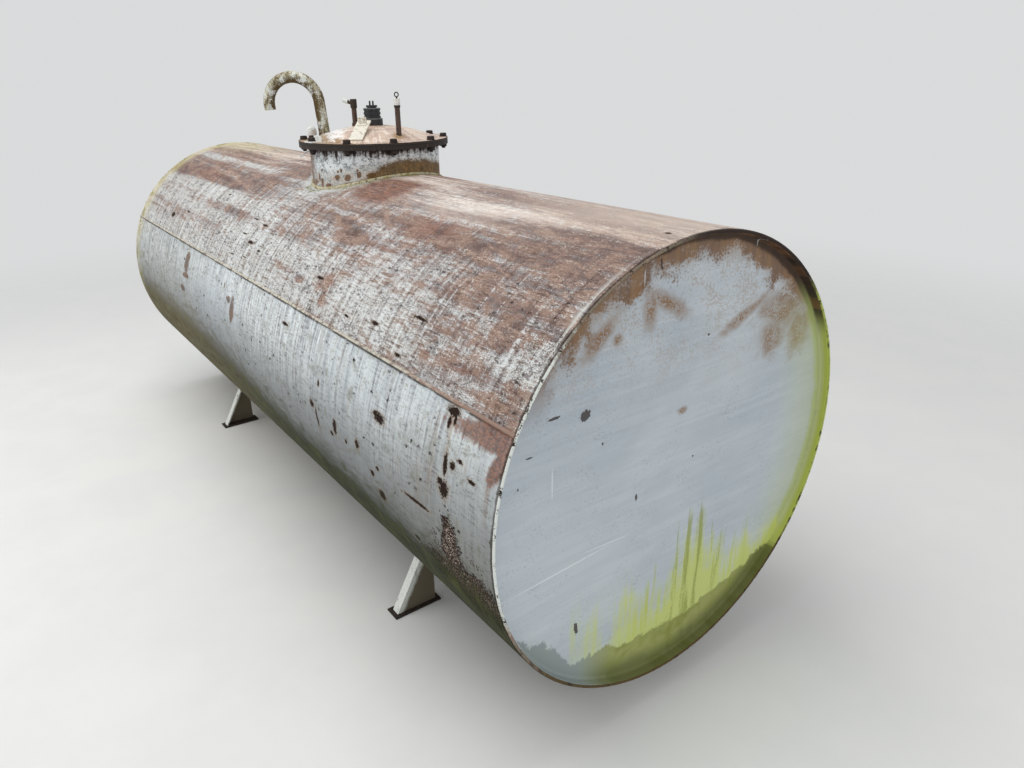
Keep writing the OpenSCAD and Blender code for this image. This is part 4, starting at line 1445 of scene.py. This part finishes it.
@dataclass
class CoverBolts:
    """Bolts round the manhole cover, with their nuts under the neck's flange.

    Attributes:
        tank: Sizes of the tank.
        count: Number of bolts.
        first: Angle of the first bolt from +X, in degrees.
        outside_neck: Distance of the bolts outside the neck.
        flats: Width of a head or nut across its flats.
        head: Height of a head.
        nut: Height of a nut.
        washer_r: Radius of a washer.
        washer: Thickness of a washer.
        shank_r: Radius of the thread.
        proud: How far the thread stands out below a nut.
        thread: Pitch of the thread.
        bracket: Thickness of the bracket under the first head.
        chamfer: Slope of the chamfer of heads and nuts, in degrees.
    """

    tank: Tank
    count: int = 10
    first: float = -84.0
    outside_neck: float = 0.020
    flats: float = 0.024
    head: float = 0.011
    nut: float = 0.011
    washer_r: float = 0.0152
    washer: float = 0.0025
    shank_r: float = 0.008
    proud: float = 0.006
    thread: float = 0.002
    bracket: float = 0.004
    chamfer: float = 28.0

    def head_mesh(self) -> Mesh:
        """A washer and a hexagon head, from the cover up.

        Returns:
            The mesh.
        """
        corner, edge, top = self.flats / 2 / math.cos(math.pi / 6), self.flats * 0.46, self.washer + self.head
        drop = (corner - edge) * math.tan(math.radians(self.chamfer))
        solid = Solid()
        solid.turned(((self.washer_r, 0.0), (self.washer_r, self.washer)))
        profile = ((edge, self.washer - 0.0002), (corner, self.washer + 0.0004),
                   (corner, top - drop), (edge, top))
        solid.turned(profile, self.flats)
        return solid.mesh("bolt_head")

    def nut_mesh(self) -> Mesh:
        """A washer, a hexagon nut and the end of the thread, from the flange down.

        Returns:
            The mesh.
        """
        corner, edge = self.flats / 2 / math.cos(math.pi / 6), self.flats * 0.46
        drop = (corner - edge) * math.tan(math.radians(self.chamfer))
        low = -self.washer - self.nut
        solid = Solid()
        solid.turned(((self.washer_r, -self.washer), (self.washer_r, 0.0)))
        profile = ((edge, low), (corner, low + drop),
                   (corner, -self.washer - drop), (edge, -self.washer + 0.0002))
        solid.turned(profile, self.flats)
        profile = [(self.shank_r * 0.7, low - self.proud)]
        for i in range(int(self.proud / self.thread)):
            height = low - self.proud + 0.001 + i * self.thread
            profile += [(self.shank_r * 0.86, height), (self.shank_r, height + self.thread / 2)]
        solid.turned(profile + [(self.shank_r, low + 0.001)], sides=24)
        return solid.mesh("bolt_nut")

    def ring(self, name: str, carrier: Mesh, height: float, under_first: float,
             material: Material) -> Piece:
        """Sets one form at every bolt hole, each turned its own way.

        Args:
            name: Name of the piece.
            carrier: Mesh of the form.
            height: Height of the face that it sits on.
            under_first: Thickness of what lies under the first one.
            material: Its material.

        Returns:
            The piece.
        """
        weave = Weave(name)
        circle = weave.first("GeometryNodeMeshCircle",
                             {"Vertices": weave.entry("Count", self.count),
                              "Radius": weave.entry("Circle", self.tank.neck_r + self.outside_neck)})
        turned = weave.first("GeometryNodeTransform",
                             {"Geometry": circle, "Translation": (self.tank.neck_x, 0.0, height),
                              "Rotation": (0.0, 0.0, math.radians(self.first))})
        index = Value(weave, weave.first("GeometryNodeInputIndex"))
        lift = weave.maths("LESS_THAN", index, 0.5) * weave.value("Under the first", under_first)
        lifted = weave.first("GeometryNodeSetPosition",
                             {"Geometry": turned, "Offset": weave.point(0.0, 0.0, lift)})
        spin = weave.node("FunctionNodeRandomValue",
                          {2: 0.0, 3: math.pi, "Seed": weave.entry("Seed", 7)}).outputs[1]
        rotation = weave.first("FunctionNodeEulerToRotation", {0: weave.point(0.0, 0.0, Value(weave, spin))})
        placed = weave.first("GeometryNodeInstanceOnPoints",
                             {"Points": lifted, "Instance": weave.carrier, "Rotation": rotation})
        return present(weave.grow(placed, carrier, material, smooth=False), "dark_rusty_steel")

    def build(self, material: Material) -> None:
        """Makes heads and nuts of one material. The first head sits on the bracket."""
        self.ring("cover_bolt_heads", self.head_mesh(), self.tank.rim_top, self.bracket, material)
        self.ring("cover_bolt_nuts", self.nut_mesh(), self.tank.flange_low, 0.0, material)


@dataclass
class Crumbs:
    """Moss, lichen or rust flakes that sit in clumps on a strip of the surface.

    Attributes:
        name: Name of the piece.
        slot: Material slot of the record.
        place: Point on the surface for two shares of 0 to 1.
        grid: Faces of the strip along the two shares.
        per_area: Crumbs to the square metre, before the gaps between clumps.
        size: Radius of a crumb.
        thin: Smallest and largest height of a crumb, as a share of its size.
        clumps: Fineness of the clumps, to the metre.
        bare: How much stays bare, -1 for nothing and 1 for all.
        seed: Seed of the scatter.
    """

    name: str
    slot: str
    place: Callable[[float, float], Vector]
    grid: tuple[int, int]
    per_area: float
    size: float
    thin: tuple[float, float] = (0.25, 0.7)
    clumps: float = 14.0
    bare: float = 0.05
    seed: int = 3

    def build(self, material: Material) -> Piece:
        """Scatters the crumbs.

        Args:
            material: Their material.

        Returns:
            The piece.
        """
        weave = Weave(self.name)
        seed = weave.entry("Seed", self.seed)
        strewn = weave.node("GeometryNodeDistributePointsOnFaces",
                            {"Mesh": weave.carrier, "Density": weave.entry("Per area", self.per_area),
                             "Seed": seed})
        lumps = weave.lumps(weave.value("Clumps", self.clumps), 4.0) * 2.0
        clumped = weave.maths("GREATER_THAN", lumps, weave.value("Bare", self.bare))
        crumb = weave.first("GeometryNodeMeshIcoSphere",
                            {"Radius": weave.entry("Size", self.size), "Subdivisions": 2})
        low, high = self.thin
        scale = weave.first("FunctionNodeRandomValue",
                            {0: (0.4, 0.4, low), 1: (1.4, 1.2, high), "Seed": seed},
                            data_type="FLOAT_VECTOR")
        placed = weave.first("GeometryNodeInstanceOnPoints",
                             {"Points": strewn.outputs["Points"], "Selection": clumped, "Instance": crumb,
                              "Rotation": strewn.outputs["Rotation"], "Scale": scale})
        real = weave.first("GeometryNodeRealizeInstances", {0: placed})
        rough = weave.swell(real, weave.lumps(0.9 / self.size) * (self.size * 0.45))
        return present(weave.grow(rough, sheet_mesh(self.name, self.place, *self.grid), material), self.slot)


def build_welds(tank: Tank, made: dict[Finish, Material]) -> None:
    """Makes the weld beads of the shell, the rims and the neck.

    Args:
        tank: Sizes of the tank.
        made: The materials by finish.
    """
    end = tank.half_len - 0.001
    for name, degrees in (("front_seam", -SEAM), ("rear_seam", SEAM), ("bottom_seam", 180.0)):
        def along(share: float, degrees: float = degrees) -> Vector:
            """Point on a lengthwise seam."""
            return tank.on_shell(-end + 2 * end * share, degrees)

        WeldBead(f"{name}_bead", name, along, False, 0.0042).build(made[Finish.WELD])
    for name, side in (("near_rim_weld", 1.0), ("far_rim_weld", -1.0)):
        def rim(share: float, side: float = side) -> Vector:
            """Point on a rim."""
            return tank.on_shell(side * tank.half_len, 360.0 * share, -RIM_WELD_IN)

        WeldBead(f"{name}_bead", name, rim, True, 0.0034).build(made[Finish.RIM])

    def round_neck(share: float) -> Vector:
        """Point on the foot of the neck."""
        return tank.beside_neck(360.0 * share, tank.neck_r + 0.002, 0.001)

    WeldBead("neck_weld_bead", "neck_weld", round_neck, True, 0.0055, "mossy_pipe",
             ripple=0.0011, wander=0.0018, pitch=0.009).build(made[Finish.NECK_WELD])


def build_growth(tank: Tank, made: dict[Finish, Material]) -> None:
    """Scatters moss, lichen and rust flakes.

    Args:
        tank: Sizes of the tank.
        made: The materials by finish.
    """
    def neck_foot(turn: float, reach: float) -> Vector:
        """Point on the shell round the neck's foot."""
        return tank.beside_neck(360.0 * turn, tank.neck_r + 0.006 + 0.030 * reach ** 1.6, -0.0005)

    def far_rim(turn: float, reach: float) -> Vector:
        """Point on the shell along the far rim."""
        return tank.on_shell(-tank.half_len + 0.004 + 0.050 * reach ** 2, -115.0 + 190.0 * turn, -0.0005)

    def burnt_rim(turn: float, reach: float) -> Vector:
        """Point on the shell beside the near rim, round its top."""
        return tank.on_shell(tank.half_len - 0.002 - 0.030 * reach ** 2, -58.0 + 110.0 * turn, -0.0004)

    def scab(along: float, turn: float) -> Vector:
        """Point on the rusted-through patch low on the front plate."""
        return tank.on_shell(tank.half_len - 0.01 - 0.25 * along, -94.0 - 12.0 * turn, -0.0004)

    Crumbs("neck_moss", "mossy_pipe", neck_foot, (120, 4), per_area=26000.0, size=0.0028,
           seed=3).build(made[Finish.MOSS])
    Crumbs("far_rim_moss", "mossy_pipe", far_rim, (80, 4), per_area=16000.0, size=0.0032,
           seed=5).build(made[Finish.MOSS])
    Crumbs("rim_flakes", "rusted_top", burnt_rim, (80, 4), per_area=22000.0, size=0.0018, thin=(0.15, 0.4),
           clumps=22.0, bare=0.12, seed=8).build(made[Finish.FLAKES])
    Crumbs("scab_flakes", "dark_rusty_steel", scab, (20, 12), per_area=26000.0, size=0.0022,
           thin=(0.15, 0.45), clumps=16.0, bare=0.0, seed=9).build(made[Finish.FLAKES])


@dataclass(frozen=True)
class Lamp:
    """A soft square lamp.

    Attributes:
        name: Name of the lamp.
        place: Where it hangs.
        size: Length of its side.
        power: Power in watts.
        aim: Where it points.
    """

    name: str
    place: Place
    size: float
    power: float
    aim: Place = (0.0, 0.0, 0.7)

    def hang(self) -> None:
        """Puts the lamp in the scene."""
        data = bpy.data.lights.new(self.name, "AREA")
        data.shape, data.size, data.energy = "SQUARE", self.size, self.power
        lamp = in_scene(self.name, data)
        lamp.location = self.place
        lamp.rotation_euler = (Vector(self.aim) - Vector(self.place)).to_track_quat("-Z", "Y").to_euler()


@dataclass
class Studio:
    """Camera, lamps, world and floor.

    Attributes:
        place: The camera's place, with its height from the shell's axis.
        yaw: Its turn from +Y towards -X, in degrees.
        pitch: How far it looks down, in degrees.
        roll: Its tilt, in degrees.
        focal_px: Its focal length in pixels of the photograph.
        sight: How far it sees.
        sky: Strength of the sky that lights the tank.
        sky_colour: Colour of that sky.
        backdrop: Colour of the world where it is seen.
        floor_colour: Colour of the floor.
        floor_side: Half of the floor's side.
        floor_fade: Where the floor starts to fade, and where it has gone.
        lamps: The lamps.
    """

    place: Place = (2.76689, -1.35711, 0.95487)
    yaw: float = 53.575
    pitch: float = 22.721
    roll: float = -0.813
    focal_px: float = 736.66
    sight: float = 200.0
    sky: float = 0.50
    sky_colour: Colour = (0.96, 0.98, 1.0)
    backdrop: Colour = (0.70, 0.705, 0.71)
    floor_colour: Colour = srgb(236, 235, 232)
    floor_side: float = 40.0
    floor_fade: tuple[float, float] = (2.2, 6.5)
    lamps: tuple[Lamp, ...] = (Lamp("sky_panel", (-0.5, -1.5, 5.5), 5.0, 190.0),
                               Lamp("end_panel", (6.5, 0.5, 2.6), 4.0, 70.0, (1.7, 0.0, 0.7)),
                               Lamp("front_panel", (-0.5, -6.5, 2.4), 4.0, 70.0))

    def camera(self, tank: Tank) -> None:
        """Puts the camera at the photograph's angle.

        Args:
            tank: Sizes of the tank. The camera's height is taken from its axis.
        """
        data = bpy.data.cameras.new("view")
        data.sensor_width = SENSOR_MM
        data.lens = SENSOR_MM * self.focal_px / IMAGE_W
        data.clip_end = self.sight
        yaw, pitch, roll = (math.radians(angle) for angle in (self.yaw, self.pitch, self.roll))
        level = Vector((math.cos(yaw), math.sin(yaw), 0.0))
        ahead = Vector((-math.sin(yaw), math.cos(yaw), 0.0))
        forward = math.cos(pitch) * ahead - math.sin(pitch) * Vector((0.0, 0.0, 1.0))
        upward = level.cross(forward)
        right = math.cos(roll) * level + math.sin(roll) * upward
        above = -math.sin(roll) * level + math.cos(roll) * upward
        turned = Matrix((right, above, -forward)).transposed().to_4x4()
        camera = in_scene("view", data)
        camera.matrix_world = Matrix.Translation(Vector(self.place) + Vector((0, 0, tank.axis_z))) @ turned
        bpy.context.scene.camera = camera

    def world(self) -> None:
        """Makes a plain bright sky, and a paler one where the camera or a reflection sees it."""
        world = bpy.data.worlds.new("sky")
        bpy.context.scene.world = world
        world.use_nodes = True
        net = Net(world.node_tree)
        net.tree.nodes.clear()
        ray = net.node("ShaderNodeLightPath").outputs
        seen = net.maths("MAXIMUM", ray["Is Camera Ray"], ray["Is Glossy Ray"])
        seen = seen.most(ray["Is Transmission Ray"])
        plain = net.first("ShaderNodeBackground", {0: self.sky_colour, 1: self.sky})
        pale = net.first("ShaderNodeBackground", {0: self.backdrop})
        blend = net.first("ShaderNodeMixShader", {0: seen, 1: plain, 2: pale})
        net.node("ShaderNodeOutputWorld", {0: blend})

    def floor(self) -> None:
        """Lays a pale floor under the tank."""
        shade = Shade("pale_floor")
        grain = shade.noise(shade.coords, (3, 3, 3), 4.0, 0.6, 5.0)
        skin = Skin(shade, shade.mix(grain.step(0.3, 0.7) * 0.10, self.floor_colour, INK.paint), 0.9)
        far = shade.length(shade.point(shade.x, shade.y)).step(*self.floor_fade)
        side = self.floor_side
        corners = [(-side, -side, 0), (side, -side, 0), (side, side, 0), (-side, side, 0)]
        mesh = plain_mesh("floor", corners, faces=[(0, 1, 2, 3)])
        mesh.materials.append(skin.done(alpha=1.0 - far))
        in_scene("floor", mesh)

    def build(self, tank: Tank) -> None:
        """Makes the whole studio.

        Args:
            tank: Sizes of the tank.
        """
        bpy.context.scene.view_settings.view_transform = "Standard"
        self.camera(tank)
        self.world()
        self.floor()
        for lamp in self.lamps:
            lamp.hang()


def middle(node: str) -> Vector:
    """Middle of a CAD node's box."""
    low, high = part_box(node)
    return (Vector(low) + Vector(high)) / 2


def fitting_spots(tank: Tank) -> dict[Finish, tuple[Spot, ...]]:
    """Layers of the fittings that lie at a place of their own.

    Args:
        tank: Sizes of the tank.

    Returns:
        The layers by finish.
    """
    vent = middle("vent_pipe")
    vent_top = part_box("vent_pipe")[1][2]
    head = middle("gauge_pipe")
    cap_edges = [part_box(node)[1][2] for node in ("filler_socket", "filler_cap", "filler_disc")]
    dip_cap_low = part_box("dip_cap")[0][2]
    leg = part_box("leg_front_near")

    def inside_bend(shade: Shade, ragged: Value) -> Value:
        """The side of the vent pipe that faces the middle of its bend.

        Args:
            shade: The material that is built.
            ragged: Unevenness, about -1 to 1.

        Returns:
            How strongly the layer lies at each place.
        """
        turn = math.radians(VENT_TURN)
        along = (shade.x - vent.x) * math.cos(turn) + (shade.y - vent.y) * math.sin(turn)
        height = (shade.z - (vent_top - VENT_BEND_R - VENT_R)).most(0.0)
        reach = shade.length(shade.point(along, height)) + ragged * 0.035
        return reach.step(VENT_BEND_R + 0.004, VENT_BEND_R - 0.010)

    def sleeve(shade: Shade, ragged: Value) -> Value:
        """The sleeve on the gauge head's outlet.

        Args:
            shade: The material that is built.
            ragged: Unevenness, about -1 to 1.

        Returns:
            How strongly the layer lies at each place.
        """
        turn = math.radians(OUTLET_TURN)
        along = (shade.x - head.x) * math.cos(turn) + (shade.y - head.y) * math.sin(turn)
        return along.step(0.0213, 0.0218) * (0.92 + ragged * 0.2)

    def cap_edge_glints(shade: Shade, ragged: Value) -> Value:
        """Painted highlights along the top edges of the filler cap."""
        lines = [(shade.z + ragged * 0.001).near(edge - 0.0008, 0.0022) for edge in cap_edges]
        return lines[0].most(lines[1]).most(lines[2]) * 0.75

    def seam_rust(shade: Shade, ragged: Value) -> Value:
        """The rusty stretches of the seams."""
        return (shade.x + ragged * 0.5).step(1.15, 1.45).most(ragged.step(0.10, 0.25) * 0.9)

    def seam_shadow(shade: Shade, ragged: Value) -> Value:
        """The lower side of the upper seams, darkened as painted shade."""
        below = tank.on_shell(0.0, SEAM).z - shade.z + ragged * 0.004
        return below.step(-0.0005, 0.001) * (shade.z - tank.axis_z).step(0.0, 0.01)

    def pale_rim(shade: Shade, ragged: Value) -> Value:
        """The front side of the rims, where the paint is left."""
        up = shade.z - tank.axis_z + ragged * 0.2
        return (shade.y + ragged * 0.10).step(-0.40, -0.50) * up.step(-0.28, -0.1)

    def burnt_rim(shade: Shade, ragged: Value) -> Value:
        """The top of the rims, rear of the crown."""
        up = shade.z - tank.axis_z + ragged * 0.06
        return up.step(0.36, 0.46) * (shade.y + ragged * 0.06).step(-0.16, 0.0)

    def green_rim(shade: Shade, ragged: Value) -> Value:
        """The rear side and the bottom of the rims."""
        down = tank.axis_z - shade.z + ragged * 0.1
        return (shade.y + ragged * 0.12).step(0.36, 0.48).most(down.step(0.40, 0.50))

    def cap_edge(shade: Shade, ragged: Value) -> Value:
        """The dark lower edge of the dip pipe's cap."""
        return (shade.z + ragged * 0.002).step(dip_cap_low + 0.009, dip_cap_low + 0.007)

    def low_rim(shade: Shade, ragged: Value) -> Value:
        """The bottom of the rims."""
        return (tank.axis_z - shade.z + ragged * 0.1).step(0.30, 0.42)

    def web(shade: Shade, ragged: Value) -> Value:
        """The mossy web of a leg, inside its folded edge."""
        out = shade.maths("ABSOLUTE", shade.y) + (shade.z - leg[0][2]) * math.tan(math.radians(LEG_SPLAY))
        return (out + ragged * 0.010).step(-leg[0][1] - 0.012, -leg[0][1] - 0.030) * 0.9

    return {
        Finish.VENT: (Spot(inside_bend, INK.moss_brown, 0.85),
                      Spot(lambda shade, ragged: ragged.step(0.0, 0.14) * 0.9, INK.moss_brown, 0.9),
                      Spot(lambda shade, ragged: ragged.step(-0.10, -0.22) * 0.8, INK.white)),
        Finish.GAUGE: (Spot(sleeve, INK.white, 0.4),),
        Finish.CAP: (Spot(cap_edge_glints, srgb(150, 152, 148)),),
        Finish.DIP_CAP: (Spot(cap_edge, INK.soot),),
        Finish.WELD: (Spot(seam_shadow, INK.steel_dark, 0.8), Spot(seam_rust, INK.rust_brown, 0.8)),
        Finish.RIM: (Spot(pale_rim, INK.white, 0.5), Spot(green_rim, INK.algae_bright, 0.8),
                     Spot(low_rim, INK.moss_brown, 0.85), Spot(burnt_rim, INK.rust_dark, 0.85),
                     Spot(lambda shade, ragged: ragged.step(0.14, 0.22), INK.rust_dark, 0.85)),
        Finish.LEG: (Spot(web, INK.moss_brown, 0.85),),
    }


def finishes(tank: Tank) -> dict[Finish, Material]:
    """Makes every material.

    Args:
        tank: Sizes of the tank.

    Returns:
        A material for each finish.
    """
    spots = fitting_spots(tank)
    # A fitting's steel: main, worn and dirty colours, then wear, grime, roughness, grit and fineness.
    makers = {
        Finish.UPPER: UpperFinish("worn_upper_paint", tank),
        Finish.FRONT: LowerFinish("worn_front_paint", tank),
        Finish.REAR: LowerFinish("worn_rear_paint", tank, 31.0, marked=False),
        Finish.NEAR_END: EndFinish("near_end_paint", tank),
        Finish.FAR_END: EndFinish("far_end_paint", tank, 17.0),
        Finish.NECK: NeckFinish("neck_paint", tank),
        Finish.COVER: CoverFinish("cover_paint", tank),
        Finish.WELD: SteelFinish(
            "seam_weld", srgb(206, 202, 186), INK.rust_dark, INK.rust_ochre,
            0.55, 0.4, 0.6, 0.3, 70, spots[Finish.WELD]),
        Finish.NECK_WELD: SteelFinish(
            "mossy_weld", srgb(216, 208, 176), INK.rust_stain, INK.moss_yellow,
            0.5, 0.6, 0.85, 0.6, 60),
        Finish.RIM: SteelFinish(
            "rim_weld_paint", srgb(128, 116, 98), INK.rust_dark, INK.rust_brown,
            0.4, 0.5, 0.8, 0.4, 50, spots[Finish.RIM]),
        Finish.DARK: SteelFinish(
            "dark_rusty_steel", srgb(46, 36, 31), INK.soot, INK.rust_deep,
            0.4, 0.4, 0.75, 0.5),
        Finish.RUBBER: SteelFinish(
            "old_rubber", INK.rubber, INK.soot, INK.steel_dark,
            0.3, 0.3, 0.7, 0.2),
        Finish.VENT: SteelFinish(
            "mossy_pipe", srgb(176, 170, 146), INK.rust_stain, srgb(122, 116, 84),
            0.35, 0.6, 0.6, 0.4, 36, spots[Finish.VENT]),
        Finish.CAP: SteelFinish(
            "black_cap", srgb(34, 36, 40), INK.soot, srgb(84, 88, 90),
            0.2, 0.3, 0.5, 0.2, 60, spots[Finish.CAP]),
        Finish.PIPE: SteelFinish(
            "brown_pipe", srgb(84, 66, 56), INK.rust_dark, srgb(128, 106, 88),
            0.45, 0.35, 0.7, 0.4, 70),
        Finish.STRAP: SteelFinish(
            "strap_paint", srgb(228, 224, 210), INK.rust_stain, srgb(168, 152, 126),
            0.3, 0.4, 0.6, 0.3, 60),
        Finish.WHITE: SteelFinish(
            "white_fitting", srgb(240, 242, 238), INK.rust_stain, srgb(178, 176, 160),
            0.25, 0.35, 0.5, 0.3, 60),
        Finish.DIP_CAP: SteelFinish(
            "dip_cap_paint", srgb(236, 236, 230), srgb(120, 112, 104), srgb(168, 164, 156),
            0.3, 0.5, 0.4, 0.2, 90, spots[Finish.DIP_CAP]),
        Finish.GAUGE: SteelFinish(
            "gauge_head_steel", srgb(54, 44, 36), INK.soot, srgb(104, 92, 58),
            0.35, 0.4, 0.75, 0.4, 60, spots[Finish.GAUGE]),
        Finish.LEG: SteelFinish(
            "leg_paint", srgb(232, 236, 230), INK.rust_brown, INK.moss_grey,
            0.2, 0.35, 0.55, 0.3, 40, spots[Finish.LEG]),
        Finish.MOSS: SteelFinish(
            "moss_cushions", srgb(138, 132, 66), srgb(88, 78, 38), INK.lichen,
            0.5, 0.5, 0.95, 0.3, 90),
        Finish.FLAKES: SteelFinish(
            "rust_flakes", INK.rust_dark, INK.rust_brown, INK.soot,
            0.4, 0.4, 0.9, 0.3, 120),
    }
    return {finish: maker.build() for finish, maker in makers.items()}


NODE_FINISH = {
    "upper_plate": Finish.UPPER, "front_plate": Finish.FRONT, "rear_plate": Finish.REAR,
    "near_head": Finish.NEAR_END, "far_head": Finish.FAR_END, "manhole_neck": Finish.NECK,
    "neck_flange": Finish.DARK, "gasket": Finish.RUBBER, "cover": Finish.COVER,
    "vent_pipe": Finish.VENT, "rim_bracket": Finish.WHITE, "filler_socket": Finish.CAP,
    "filler_cap": Finish.CAP, "filler_disc": Finish.CAP, "dip_pipe": Finish.PIPE,
    "dip_cap": Finish.DIP_CAP, "dip_ring": Finish.DARK, "gauge_pipe": Finish.PIPE,
    "gauge_elbow": Finish.GAUGE, "sensor_socket": Finish.PIPE, "sensor_cap": Finish.WHITE,
    "lock_strap": Finish.STRAP, "hasp": Finish.STRAP, "earth_lug": Finish.WHITE,
    "leg_front_near": Finish.LEG, "leg_front_far": Finish.LEG, "leg_rear_near": Finish.LEG,
    "leg_rear_far": Finish.LEG, "foot_front_near": Finish.DARK, "foot_front_far": Finish.DARK,
    "foot_rear_near": Finish.DARK, "foot_rear_far": Finish.DARK,
}


def dress(frame: dict[str, Any], made: dict[Finish, Material]) -> None:
    """Gives each CAD node that shows its material.

    Args:
        frame: The loaded frame.
        made: The materials by finish.
    """
    for node, finish in NODE_FINISH.items():
        for slot in frame["nodes"][node].material_slots:
            slot.material = made[finish]
        LOG.info("dressed %s in %s", node, finish.value)


def main() -> None:
    """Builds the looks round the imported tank."""
    logging.basicConfig(level=logging.INFO, format="%(name)s: %(message)s")
    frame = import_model()
    tank = Tank.measured()
    LOG.info("tank sizes: %s", tank)
    Studio().build(tank)
    made = finishes(tank)
    dress(frame, made)
    build_welds(tank, made)
    CoverBolts(tank).build(made[Finish.DARK])
    build_growth(tank, made)


if __name__ == "__main__":
    main()
